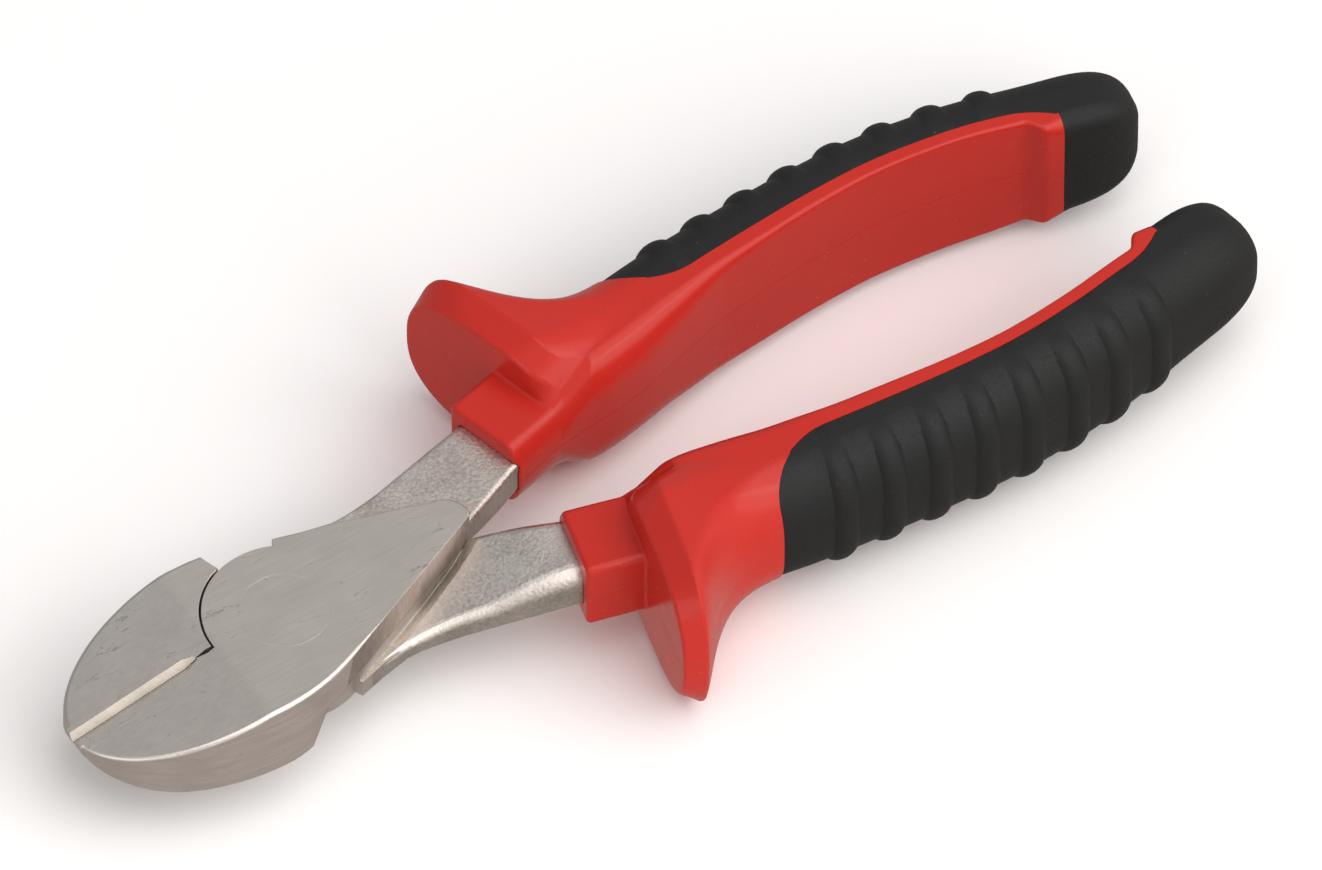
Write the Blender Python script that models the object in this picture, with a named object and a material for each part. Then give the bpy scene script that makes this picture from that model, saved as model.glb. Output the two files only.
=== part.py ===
"""Diagonal cutter: two lapped forged halves on a flush rivet, each with a two-part moulded grip.

Sizes are in millimetres. X runs from the jaws to the handles and Z along the pivot, out of the front face.
A half and its grip are modelled about the middle of the joint, with the half's own layer above, its jaw on
the -Y side and its handle on the +Y side. The rear half is the same, turned half a turn about X.
"""

import math

import bmesh
import bpy
from mathutils import Vector

MM = 0.001

# Clearances
GAP = 0.3
RUNNING_GAP = 0.1
LAP_CLEAR = GAP / 2
EDGE_CLEAR = GAP / 2
OVERCUT = 5.0

# Joint
HALF_THICK = 5.1
DISC_RADIUS = 11.4
SEAM_RADIUS = DISC_RADIUS + GAP
STEP_ANGLE = 65.5
STEP_RADIUS = 12.6
SHOULDER_ANGLE = 108.5
SHOULDER_RAMP_ANGLE = 97.0
SHOULDER_RAMP_RADIUS = 13.0
SEAM_END_ANGLE = 200.0
RIVET_HEAD_RADIUS = 6.3
RIVET_SHANK_RADIUS = 4.5
RIVET_HEAD_DEPTH = 1.8
ROUND_SIDES = 48

# Jaw, seen from above: a rounded nose that runs into the straight side of the tang
NOSE_TIP_X = -34.2
JAW_ROOT_X = -9.5
JAW_WIDTH = 15.2
JAW_DRAFT = 0.7
JAW_ROUND = 1.9
JAW_CURVE_STEPS = 12
NOTCH_START_X = -14.0
NOTCH_X = -12.5
NOTCH_DEPTH = 0.8

# Jaw, seen from the side: the front face slopes to the tip and the back curves up to it
SLOPE_START_X = -11.0
JAW_SLOPE = 0.2
BACK_CURVE_X = -22.0
BACK_CURVE_STEPS = 8
EDGE_BEVEL = 1.0
EDGE_LAND = 0.3
RELIEF_SLOPE = 0.5
RELIEF_END_X = -19.0

# Straight side of the tang, and the ground flat round the joint
SIDE_FROM = (2.7, -11.0)
SIDE_TO = (30.1, 0.7)
SIDE_SLOPE = (SIDE_TO[1] - SIDE_FROM[1]) / (SIDE_TO[0] - SIDE_FROM[0])
FLAT_EDGE = ((9.8, 10.2), (13.4, 9.45), (17.6, 8.0), (23.0, 6.5), (27.7, 4.8), (30.0, 3.2), (30.5, 1.9))
FLAT_UNDERSIDE = 1.5

# Tang: outer side, top and underside along X, and the narrower part inside the grip
TANG_OUTER = ((7.5, 10.6), (13.4, 9.6), (20.0, 10.1), (26.0, 11.7), (33.0, 13.8), (40.0, 15.8))
TANG_TOP = ((7.5, 4.8), (20.0, 4.5), (28.0, 4.1), (38.0, 3.3), (41.0, 3.2))
TANG_UNDER = ((7.5, 1.7), (16.0, 1.7), (28.8, 0.5), (30.5, -1.3), (33.0, -2.7), (36.0, -3.1), (41.0, -3.2))
TANG_OPEN_X = (7.5, 11.0, 15.0, 19.0, 23.0, 27.0, 28.8, 30.5, 33.0, 36.0, 40.0)
TANG_HELD_X = (50.0, 62.0, 76.0, 92.0, 108.0, 118.0)
TANG_HELD_HALF_WIDTHS = (4.2, 3.4, 2.6, 2.3, 2.0, 1.7)
TANG_HELD_THICK = 3.2
TANG_ROUND = 0.9
TANG_SIDE_ROUND = 0.4
TANG_INSET = 0.1
TANG_INNER_FROM = -5.5
SOCKET_FROM_X = 36.0

# Grip: its centre line, and its half width along it
CENTRE = (
    (36.0, 10.5),
    (47.7, 13.5),
    (66.0, 18.25),
    (82.0, 20.35),
    (104.0, 21.65),
    (118.0, 20.5),
    (131.0, 17.95),
    (150.0, 14.2),
)
BODY_HALF_WIDTH = ((51.0, 6.6), (66.0, 6.5), (82.0, 5.9), (111.0, 5.2), (125.0, 5.1), (150.0, 5.4))
BODY_HEIGHT = ((51.0, 11.0), (66.0, 11.0), (80.0, 11.4), (122.0, 11.4), (135.0, 10.3), (150.0, 9.2))
BODY_INNER_CORNER = 1.4
BODY_OUTER_CORNER = 5.4
BODY_OUTER_ROUND = ((51.0, 9.0), (66.0, 8.6), (74.0, 7.0), (84.0, 5.6), (150.0, 5.6))

# Collar and finger guard
COLLAR_FROM_X = 39.4
COLLAR_EASE = 0.5
COLLAR_INNER = -6.4
COLLAR_OUTER = 6.3
COLLAR_HEIGHT = 6.0
COLLAR_INNER_CORNER = 3.2
COLLAR_OUTER_CORNER = 1.5
GUARD_FROM_X = 47.7
GUARD_TO_X = 51.2
GUARD_INNER = -5.6
GUARD_OUTER = 22.8
GUARD_HEIGHT = 13.5
GUARD_INNER_CORNER = (8.5, 9.0)
GUARD_OUTER_CORNER = (9.6, 13.5)
NECK_FALL = 4.4
NECK_X = (52.2, 53.4, 55.0, 57.0, 60.0, 63.0)

# Overmould: its seat in the core, its edge along the top, its ribs and its round end
SEAT_DEPTH = 2.4
SEAT_FROM_X = 66.3
SEAT_CURVE_TO_X = 75.5
SEAT_CURVE_STEPS = 4
SEAT_EDGE_START = 1.0
SEAT_EDGE = -3.1
SEAT_RUN_X = (82.0, 90.0, 98.0, 106.0, 114.0, 122.0, 128.0)
STOP_FROM_X = 130.6
STOP_X = 132.6
STOP_TO_X = 135.1
STOP_HEIGHT = 2.0
STOP_EDGE_DROP = 2.0
RIB_COUNT = 8
RIB_FIRST_X = 74.6
RIB_PITCH = 7.25
RIB_HEIGHT = 0.7
RIB_PROFILE = ((-2.6, 0.0), (-1.1, 1.0), (0.9, 1.0), (2.6, 0.0))
END_ROUND_FROM_X = 137.0
END_X = 147.6
END_ROUND = 3.2
END_SHARES = (0.25, 0.5, 0.7, 0.84, 0.94, 0.985)

# Steps round each corner of a section; the closed end needs one point more on its inner corners
OUTER_CORNER_STEPS = 5
INNER_CORNER_STEPS = OUTER_CORNER_STEPS + 1

SMOOTH_ANGLE = math.radians(35)
WELD_DISTANCE = 1e-4
SLOPE_STEP = 0.5

# Colours, linear
STEEL_COLOR = (0.36, 0.34, 0.31)
RIVET_COLOR = (0.42, 0.40, 0.38)
RED_COLOR = (0.56, 0.035, 0.026)
BLACK_COLOR = (0.034, 0.035, 0.035)


def clear_scene():
    for item in list(bpy.data.objects):
        bpy.data.objects.remove(item, do_unlink=True)


def principled(name, color, roughness, metallic):
    material = bpy.data.materials.new(name)
    material.use_nodes = True
    shader = material.node_tree.nodes["Principled BSDF"]
    shader.inputs["Base Color"].default_value = (*color, 1.0)
    shader.inputs["Roughness"].default_value = roughness
    shader.inputs["Metallic"].default_value = metallic
    material.diffuse_color = (*color, 1.0)
    return material


def add_empty(name, parent=None):
    empty = bpy.data.objects.new(name, None)
    bpy.context.scene.collection.objects.link(empty)
    empty.parent = parent
    return empty


def finished_mesh(name, bm, material=None):
    """The bmesh as a closed mesh in metres, with its faces pointing out."""
    bmesh.ops.remove_doubles(bm, verts=bm.verts, dist=WELD_DISTANCE)
    bmesh.ops.recalc_face_normals(bm, faces=bm.faces)
    bmesh.ops.scale(bm, vec=(MM, MM, MM), verts=bm.verts)
    mesh = bpy.data.meshes.new(name)
    bm.to_mesh(mesh)
    bm.free()
    mesh.shade_smooth()
    mesh.set_sharp_from_angle(angle=SMOOTH_ANGLE)
    if material:
        mesh.materials.append(material)
    return mesh


def add_object(name, mesh, parent):
    item = bpy.data.objects.new(name, mesh)
    bpy.context.scene.collection.objects.link(item)
    item.parent = parent
    return item


def combine(target, operation, name, bm):
    """Cut the target by a shape, or join one to it; the shape stays as a hidden guide."""
    guide = add_object(f"{target.name}_{name}", finished_mesh(name, bm), target.parent)
    guide.hide_render = True
    guide.display_type = "WIRE"
    modifier = target.modifiers.new(name, "BOOLEAN")
    modifier.operation = operation
    modifier.solver = "EXACT"
    modifier.object = guide


def curve_value(points, x):
    """Height at x of the smooth curve through the points, level beyond its ends."""
    if x <= points[0][0]:
        return points[0][1]
    if x >= points[-1][0]:
        return points[-1][1]
    slopes = []
    for i in range(len(points)):
        before = points[max(i - 1, 0)]
        after = points[min(i + 1, len(points) - 1)]
        slopes.append((after[1] - before[1]) / (after[0] - before[0]))
    i = max(k for k, point in enumerate(points) if point[0] <= x)
    (x0, y0), (x1, y1) = points[i], points[i + 1]
    run = x1 - x0
    u = (x - x0) / run
    rise = 3 * u**2 - 2 * u**3
    bend = slopes[i] * (u - 2 * u**2 + u**3) + slopes[i + 1] * (u**3 - u**2)
    return y0 + rise * (y1 - y0) + bend * run


def polar(radius, degrees):
    angle = math.radians(degrees)
    return (radius * math.cos(angle), radius * math.sin(angle))


def prism(outline, direction):
    """A closed prism from a flat outline of points, pushed along a direction."""
    bm = bmesh.new()
    face = bm.faces.new([bm.verts.new(point) for point in outline])
    moved = bmesh.ops.extrude_face_region(bm, geom=[face])["geom"]
    verts = [item for item in moved if isinstance(item, bmesh.types.BMVert)]
    bmesh.ops.translate(bm, vec=direction, verts=verts)
    return bm


def plate(outline, low, high):
    """A flat outline seen from above, between two heights."""
    return prism([(x, y, low) for x, y in outline], (0, 0, high - low))


def loft(rings):
    """A closed skin over rings of points, all with the same number of points."""
    bm = bmesh.new()
    rows = [[bm.verts.new(point) for point in ring] for ring in rings]
    count = len(rows[0])
    for row, after in zip(rows, rows[1:]):
        for i in range(count):
            j = (i + 1) % count
            bm.faces.new((row[i], row[j], after[j], after[i]))
    bm.faces.new(reversed(rows[0]))
    bm.faces.new(rows[-1])
    return bm


def turned(profile):
    """A closed solid of revolution about Z from (radius, height) points that start and end on the axis."""
    bm = bmesh.new()
    verts = [bm.verts.new((radius, 0, height)) for radius, height in profile]
    edges = [bm.edges.new(pair) for pair in zip(verts, verts[1:])]
    bmesh.ops.spin(
        bm,
        geom=verts + edges,
        cent=(0, 0, 0),
        axis=(0, 0, 1),
        angle=math.tau,
        steps=ROUND_SIDES,
        use_merge=True,
    )
    return bm


def side_y(x):
    """The straight side of the tang, which runs on along the joint to the jaw."""
    return SIDE_FROM[1] + SIDE_SLOPE * (x - SIDE_FROM[0])


def side_x(y):
    return SIDE_FROM[0] + (y - SIDE_FROM[1]) / SIDE_SLOPE


def front_z(x):
    return HALF_THICK - JAW_SLOPE * max(0.0, SLOPE_START_X - x)


def back_z(x):
    reach = max(0.0, BACK_CURVE_X - x) / (BACK_CURVE_X - NOSE_TIP_X)
    return -HALF_THICK * math.sqrt(max(0.0, 1 - reach**2))


def half_outline(swell):
    """Jaw, disc and ground flat of one half, seen from above, with the jaw's outside swollen."""
    width = JAW_WIDTH + swell
    outline = [(NOTCH_START_X, -EDGE_CLEAR), (NOTCH_X, -NOTCH_DEPTH), (-DISC_RADIUS, -NOTCH_DEPTH / 2)]
    steps = ROUND_SIDES // 3
    for i in range(steps + 1):
        outline.append(polar(DISC_RADIUS, 180 + (STEP_ANGLE - 180) * i / steps))
    outline.append(polar(STEP_RADIUS, STEP_ANGLE))
    outline.extend(FLAT_EDGE)
    outline.append(SIDE_TO)
    length = JAW_ROOT_X - NOSE_TIP_X
    for i in range(JAW_CURVE_STEPS + 1):
        turn = math.pi / 2 * i / (JAW_CURVE_STEPS + 0.5)
        x = JAW_ROOT_X - length * math.sin(turn) ** (2 / JAW_ROUND)
        y = -width * math.cos(turn) ** (2 / JAW_ROUND)
        if i == 0:
            x = side_x(y)
        outline.append((x, y))
    outline.append((outline[-1][0], -EDGE_CLEAR))
    return outline


def side_profile(flip):
    """Front and back faces of the half seen from the side, wide enough for the whole plate."""
    far = SIDE_TO[0] + OVERCUT
    points = [(far, HALF_THICK), (SLOPE_START_X, HALF_THICK), (NOSE_TIP_X, front_z(NOSE_TIP_X))]
    for i in range(BACK_CURVE_STEPS + 1):
        turn = math.pi / 2 * i / BACK_CURVE_STEPS
        x = BACK_CURVE_X - (BACK_CURVE_X - NOSE_TIP_X) * math.cos(turn)
        points.append((x, back_z(x)))
    points.append((far, -HALF_THICK))
    return prism([(x, -2 * JAW_WIDTH, flip * z) for x, z in points], (0, 4 * JAW_WIDTH, 0))


def edge_cut(flip):
    """What is ground away beside the cutting edge: a front bevel and a long relief behind."""
    rings = []
    back = -HALF_THICK - OVERCUT
    for x, slope in ((NOSE_TIP_X - OVERCUT, RELIEF_SLOPE), (RELIEF_END_X, RELIEF_SLOPE), (NOTCH_X, 0.0)):
        front = front_z(x)
        edge = front - EDGE_BEVEL
        relief = slope * (edge - EDGE_LAND - back)
        points = (
            (OVERCUT, front + OVERCUT),
            (-EDGE_CLEAR - EDGE_BEVEL - OVERCUT, front + OVERCUT),
            (-EDGE_CLEAR, edge),
            (-EDGE_CLEAR, edge - EDGE_LAND),
            (-EDGE_CLEAR - relief, back),
            (OVERCUT, back),
        )
        rings.append([(x, y, flip * z) for y, z in points])
    return loft(rings)


def lap_cut():
    """Room for the other half: its disc, and all beyond the jaw's shoulder, below the lap face.

    Outside the swing of the other half's step the shoulder ramps up to the lap face.
    """
    far = 3 * SEAM_RADIUS
    steps = ROUND_SIDES // 4
    rings = []
    levels = (
        (-HALF_THICK - OVERCUT, SHOULDER_ANGLE),
        (-HALF_THICK, SHOULDER_ANGLE),
        (LAP_CLEAR, SHOULDER_RAMP_ANGLE),
    )
    for z, ramp_angle in levels:
        outline = [polar(far, -ramp_angle), polar(SHOULDER_RAMP_RADIUS, -ramp_angle)]
        outline.append(polar(SHOULDER_RAMP_RADIUS, -SHOULDER_ANGLE))
        for i in range(steps + 1):
            angle = SHOULDER_ANGLE + (SEAM_END_ANGLE - SHOULDER_ANGLE) * i / steps
            outline.append(polar(SEAM_RADIUS, -angle))
        outline.extend([(-SEAM_RADIUS, far), (far, far), (far, -far)])
        rings.append([(x, y, z) for x, y in outline])
    return loft(rings)


def underside_cut():
    """The ground flat is thinner where it stands out past the side of the other half."""
    start = polar(DISC_RADIUS, STEP_ANGLE)
    end = (SIDE_TO[0] + OVERCUT, -side_y(SIDE_TO[0] + OVERCUT))
    far = 2 * STEP_RADIUS
    outline = [(start[0], -side_y(start[0])), end, (end[0], far), (start[0], far)]
    return plate(outline, -OVERCUT, FLAT_UNDERSIDE)


def tang_ring(x, inner, outer, under, top, swell):
    low, high = inner - swell, outer + swell
    bottom, crown = under - swell, top + swell
    side = TANG_SIDE_ROUND
    cut = TANG_ROUND
    points = (
        (low, bottom + side),
        (low, crown - side),
        (low + side, crown),
        (high - cut, crown),
        (high, crown - cut),
        (high, bottom + cut),
        (high - cut, bottom),
        (low + side, bottom),
    )
    return [(x, y, z) for y, z in points]


def tang(swell=0.0, from_x=0.0):
    """The forged tang from the joint into the grip; swell makes the socket that holds it."""
    rings = []
    for x in TANG_OPEN_X:
        if x < from_x:
            continue
        rings.append(
            tang_ring(
                x,
                max(side_y(x), TANG_INNER_FROM) + TANG_INSET,
                curve_value(TANG_OUTER, x),
                curve_value(TANG_UNDER, x),
                curve_value(TANG_TOP, x),
                swell,
            )
        )
    for x, half_width in zip(TANG_HELD_X, TANG_HELD_HALF_WIDTHS):
        centre = curve_value(CENTRE, x) - SEAT_DEPTH / 2
        rings.append(
            tang_ring(x, centre - half_width, centre + half_width, -TANG_HELD_THICK, TANG_HELD_THICK, swell)
        )
    if swell:
        rings.append([(x + swell, y, z) for x, y, z in rings[-1]])
    return loft(rings)


def rivet_profile(swell, reach):
    """Shank with a countersunk head at each face."""
    head = RIVET_HEAD_RADIUS + swell
    shank = RIVET_SHANK_RADIUS + swell
    face = HALF_THICK
    neck = HALF_THICK - RIVET_HEAD_DEPTH
    upper = [(0, face + reach), (head, face + reach), (shank, neck)]
    if reach:
        upper.insert(2, (head, face))
    return upper + [(radius, -height) for radius, height in reversed(upper)]


def add_half(name, parent, material, flip):
    """One forged half; flip is -1 where its own layer is at the tool's back."""
    reach = HALF_THICK + OVERCUT
    draft = JAW_DRAFT * reach / HALF_THICK
    plan = loft([[(x, y, side * reach) for x, y in half_outline(-flip * side * draft)] for side in (-1, 1)])
    half = add_object(name, finished_mesh(name, plan, material), parent)
    combine(half, "INTERSECT", "side_profile", side_profile(flip))
    combine(half, "DIFFERENCE", "edge_cut", edge_cut(flip))
    combine(half, "DIFFERENCE", "lap_cut", lap_cut())
    combine(half, "DIFFERENCE", "underside_cut", underside_cut())
    combine(half, "UNION", "tang", tang())
    combine(half, "DIFFERENCE", "rivet_bore", turned(rivet_profile(RUNNING_GAP, OVERCUT)))


def arc(centre, radii, start, end, steps):
    points = []
    for i in range(steps + 1):
        angle = math.radians(start + (end - start) * i / steps)
        points.append((centre[0] + radii[0] * math.cos(angle), centre[1] + radii[1] * math.sin(angle)))
    return points


class Section:
    """A grip section across the centre line: a box with elliptic corners, inner side to outer side."""

    def __init__(self, x, inner, outer, height, inner_corner, outer_corner):
        self.x = x
        self.inner = inner
        self.outer = outer
        self.height = height
        self.inner_corner = inner_corner
        self.outer_corner = outer_corner

    def inner_arc(self):
        centre = (self.inner + self.inner_corner[0], self.height - self.inner_corner[1])
        return arc(centre, self.inner_corner, 180, 90, INNER_CORNER_STEPS)

    def outer_arc(self, depth=0.0, rib=0.0):
        centre = (self.outer - self.outer_corner[0], self.height - self.outer_corner[1])
        radii = (self.outer_corner[0] - depth + rib, self.outer_corner[1] - depth)
        return arc(centre, radii, 90, 0, OUTER_CORNER_STEPS)

    def placed(self, points):
        """Points across the section, set on the centre line square to it."""
        here = Vector((self.x, curve_value(CENTRE, self.x)))
        rise = curve_value(CENTRE, self.x + SLOPE_STEP) - curve_value(CENTRE, self.x - SLOPE_STEP)
        across = Vector((-rise, 2 * SLOPE_STEP)).normalized()
        return [(*(here + across * t), z) for t, z in points]


def mirrored(points):
    return [(t, -z) for t, z in reversed(points)]


def neck_section(x):
    """Finger guard at its back face, falling away to the body of the grip."""
    share = math.exp((GUARD_TO_X - max(x, GUARD_TO_X)) / NECK_FALL)
    half_width = curve_value(BODY_HALF_WIDTH, x)

    def mix(guard, body, power=1):
        return body + (guard - body) * share**power

    return Section(
        x,
        mix(GUARD_INNER, -half_width),
        mix(GUARD_OUTER, half_width),
        mix(GUARD_HEIGHT, curve_value(BODY_HEIGHT, x)),
        (mix(GUARD_INNER_CORNER[0], BODY_INNER_CORNER, 2), mix(GUARD_INNER_CORNER[1], BODY_INNER_CORNER, 2)),
        (
            mix(GUARD_OUTER_CORNER[0], BODY_OUTER_CORNER),
            mix(GUARD_OUTER_CORNER[1], curve_value(BODY_OUTER_ROUND, x)),
        ),
    )


def collar_section(x, ease):
    inner_corner = COLLAR_INNER_CORNER - ease / 2
    outer_corner = COLLAR_OUTER_CORNER - ease / 2
    return Section(
        x,
        COLLAR_INNER + ease,
        COLLAR_OUTER - ease,
        COLLAR_HEIGHT - ease,
        (inner_corner, inner_corner),
        (outer_corner, outer_corner),
    )


def body_section(x):
    """Grip behind the guard; its inner side steps out at the stop near the end."""
    section = neck_section(x)
    share = min(1.0, max(0.0, (x - STOP_FROM_X) / (STOP_X - STOP_FROM_X)))
    section.inner -= STOP_HEIGHT * share
    return section


def seat_edge(x):
    """Where the overmould's edge runs along the top: a quarter round, a long run, and a drop at the stop."""
    if x <= SEAT_CURVE_TO_X:
        reach = (SEAT_CURVE_TO_X - max(x, SEAT_FROM_X)) / (SEAT_CURVE_TO_X - SEAT_FROM_X)
        return SEAT_EDGE + (SEAT_EDGE_START - SEAT_EDGE) * (1 - math.sqrt(1 - reach**2))
    drop = max(0.0, (x - SEAT_RUN_X[-1]) / (STOP_TO_X - SEAT_RUN_X[-1]))
    return SEAT_EDGE - STOP_EDGE_DROP * drop**2


def core_ring(section, depth):
    """Full section up to the overmould's edge, and a seat of this depth beyond it."""
    edge = max(seat_edge(section.x), section.inner + section.inner_corner[0] + GAP)
    top = section.inner_arc() + [(edge, section.height), (edge, section.height - depth)]
    top += section.outer_arc(depth)
    return section.placed(top + mirrored(top))


def seat_curve_xs():
    """Stations round the overmould's front corner, close together where the edge turns fast."""
    xs = []
    for i in range(1, SEAT_CURVE_STEPS + 1):
        turn = math.pi / 2 * i / SEAT_CURVE_STEPS
        xs.append(SEAT_CURVE_TO_X - (SEAT_CURVE_TO_X - SEAT_FROM_X) * math.cos(turn))
    return xs


def grip_core():
    """Collar, guard, neck, inner strip and stop, in one hard moulding."""
    rings = [
        core_ring(collar_section(COLLAR_FROM_X, COLLAR_EASE), 0.0),
        core_ring(collar_section(COLLAR_FROM_X + COLLAR_EASE, 0.0), 0.0),
        core_ring(collar_section(GUARD_FROM_X, 0.0), 0.0),
    ]
    guard_front = neck_section(GUARD_TO_X)
    guard_front.x = GUARD_FROM_X
    rings.append(core_ring(guard_front, 0.0))
    for x in (GUARD_TO_X, *NECK_X, SEAT_FROM_X):
        rings.append(core_ring(neck_section(x), 0.0))
    for x in (SEAT_FROM_X, *seat_curve_xs(), *SEAT_RUN_X, STOP_FROM_X, STOP_X, STOP_TO_X):
        rings.append(core_ring(body_section(x), SEAT_DEPTH))
    return loft(rings)


def shell_ring(section, rib=0.0):
    """The overmould round the core's seat, open on its inner side."""
    edge = seat_edge(section.x) + GAP
    outside = [(edge, section.height)] + section.outer_arc(0.0, rib)
    inside = [(edge, section.height - SEAT_DEPTH + GAP)] + section.outer_arc(SEAT_DEPTH - GAP)
    return section.placed(outside + mirrored(outside) + [(t, -z) for t, z in inside] + list(reversed(inside)))


def end_ring(section, share):
    """The overmould's closed end, drawn in by a share of its size."""
    edge = section.inner + section.inner_corner[0] + GAP
    outside = [(edge, section.height)] + section.outer_arc()
    inside = section.inner_arc()
    middle = (section.inner + section.outer) / 2
    ring = outside + mirrored(outside) + [(t, -z) for t, z in reversed(inside)] + inside
    return section.placed([(middle + (t - middle) * share, z * share) for t, z in ring])


def grip_overmould():
    """Soft ribbed skin on the outer side, closed round the end of the grip."""
    first_rib_from = RIB_FIRST_X + RIB_PROFILE[0][0]
    stations = [(x, 0.0) for x in (SEAT_FROM_X + GAP, *seat_curve_xs()) if x < first_rib_from]
    for i in range(RIB_COUNT):
        middle = RIB_FIRST_X + RIB_PITCH * i
        stations.extend((middle + offset, RIB_HEIGHT * share) for offset, share in RIB_PROFILE)
    stations.extend((x, 0.0) for x in (STOP_FROM_X, STOP_X, STOP_TO_X))
    rings = [shell_ring(body_section(x), rib) for x, rib in stations]
    start = body_section(STOP_TO_X + GAP)
    rings.append(shell_ring(start))
    rings.append(end_ring(start, 1.0))
    rings.append(end_ring(body_section(END_ROUND_FROM_X), 1.0))
    for along in END_SHARES:
        x = END_ROUND_FROM_X + (END_X - END_ROUND_FROM_X) * along
        rings.append(end_ring(body_section(x), (1 - along**END_ROUND) ** (1 / END_ROUND)))
    return loft(rings)


def add_grip(prefix, parent, core_mesh, overmould_mesh):
    core = add_object(f"{prefix}_grip_core", core_mesh, parent)
    combine(core, "DIFFERENCE", "socket", tang(GAP, SOCKET_FROM_X))
    add_object(f"{prefix}_grip_overmould", overmould_mesh, parent)


def build():
    clear_scene()
    steel = principled("forged_steel", STEEL_COLOR, roughness=0.38, metallic=1.0)
    ground = principled("ground_rivet_steel", RIVET_COLOR, roughness=0.32, metallic=1.0)
    red = principled("red_hard_plastic", RED_COLOR, roughness=0.35, metallic=0.0)
    black = principled("black_soft_plastic", BLACK_COLOR, roughness=0.75, metallic=0.0)

    front = add_empty("pivot")
    front.location = (0, 0, -HALF_THICK * MM)
    rear = add_empty("rear_hinge", front)
    rear.rotation_euler = (math.pi, 0, 0)

    add_half("front_half", front, steel, 1)
    add_half("rear_half", rear, steel, -1)
    rivet = finished_mesh("pivot_rivet", turned(rivet_profile(0.0, 0.0)), ground)
    add_object("pivot_rivet", rivet, front)

    core_mesh = finished_mesh("grip_core", grip_core(), red)
    overmould_mesh = finished_mesh("grip_overmould", grip_overmould(), black)
    add_grip("front", front, core_mesh, overmould_mesh)
    add_grip("rear", rear, core_mesh, overmould_mesh)


build()
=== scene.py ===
"""The looks of a diagonal cutter: plated forged halves on a flush rivet, with two-colour moulded grips.

Shapes are worked out in millimetres about the middle of the joint. A half has its own layer above, its
jaw on the -Y side and its handle on the +Y side. The rear half is the same, turned half a turn about X.
"""

import logging
import math
from dataclasses import dataclass
from enum import Enum
from typing import Callable, Iterable, Mapping, Sequence

import bmesh
import bpy
from bmesh.types import BMEdge, BMesh, BMFace
from mathutils import Matrix, Vector


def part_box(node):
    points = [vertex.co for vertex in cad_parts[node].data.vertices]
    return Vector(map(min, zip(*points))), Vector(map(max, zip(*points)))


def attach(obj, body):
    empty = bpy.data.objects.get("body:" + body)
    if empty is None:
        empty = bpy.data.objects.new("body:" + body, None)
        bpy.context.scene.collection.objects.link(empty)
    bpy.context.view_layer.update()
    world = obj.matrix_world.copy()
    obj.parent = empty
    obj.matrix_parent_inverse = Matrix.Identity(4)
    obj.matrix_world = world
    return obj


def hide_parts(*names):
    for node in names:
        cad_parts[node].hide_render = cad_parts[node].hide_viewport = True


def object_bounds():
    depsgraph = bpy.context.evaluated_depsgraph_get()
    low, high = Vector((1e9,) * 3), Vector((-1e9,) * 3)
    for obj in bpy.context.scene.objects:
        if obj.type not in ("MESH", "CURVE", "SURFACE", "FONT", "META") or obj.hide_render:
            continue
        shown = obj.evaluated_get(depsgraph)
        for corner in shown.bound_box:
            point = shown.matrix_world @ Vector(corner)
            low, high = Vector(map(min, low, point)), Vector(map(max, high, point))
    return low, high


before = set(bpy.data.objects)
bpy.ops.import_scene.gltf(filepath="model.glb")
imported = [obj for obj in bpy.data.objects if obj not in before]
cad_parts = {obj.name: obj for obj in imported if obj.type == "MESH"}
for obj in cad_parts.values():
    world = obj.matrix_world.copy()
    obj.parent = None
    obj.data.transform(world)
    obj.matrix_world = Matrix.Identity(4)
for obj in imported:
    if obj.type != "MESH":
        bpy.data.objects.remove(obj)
CAD_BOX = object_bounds()

Point = tuple[float, float]
Points = list[Point]

MM = 0.001
LOG = logging.getLogger("diagonal_cutter")

# Points nearer than WELD are one point, and edges under SHORTEST_EDGE are taken out, in millimetres
WELD = 0.002
SHORTEST_EDGE = 0.01
# Half the stretch over which a slope is read, in millimetres
SLOPE_STEP = 0.5
# Edges that turn by more than this are sharp, in degrees; FACET_ANGLE finds the joins between flat faces
SMOOTH_ANGLE = 40.0
FACET_ANGLE = 6.0
# A round end stops just short of a quarter turn, so that its last face has a size
NEAR_QUARTER = 88.0

# Colour sockets of a mix node, which has a set of sockets for each kind of data
MIX_FACTOR, MIX_A, MIX_B, MIX_RESULT = 0, 6, 7, 2
# Sockets of a map range node
VALUE, FROM_LOW, FROM_HIGH, TO_LOW, TO_HIGH = 0, 1, 2, 3, 4
# Where the values of a noise lie, and their middle
NOISE_LOW, NOISE_MIDDLE, NOISE_HIGH = 0.3, 0.5, 0.7


def linear(code: str) -> tuple[float, float, float, float]:
    """Turn an sRGB hex colour into linear light.

    Args:
        code: A colour such as "#C4342C".

    Returns:
        Red, green, blue and a full alpha.
    """
    channels = [int(code[i : i + 2], 16) / 255 for i in (1, 3, 5)]
    red, green, blue = (c / 12.92 if c <= 0.04045 else ((c + 0.055) / 1.055) ** 2.4 for c in channels)
    return (red, green, blue, 1.0)


def per_metre(size: float) -> float:
    """The pattern scale that gives cells of a size in millimetres."""
    return 1 / (size * MM)


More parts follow.
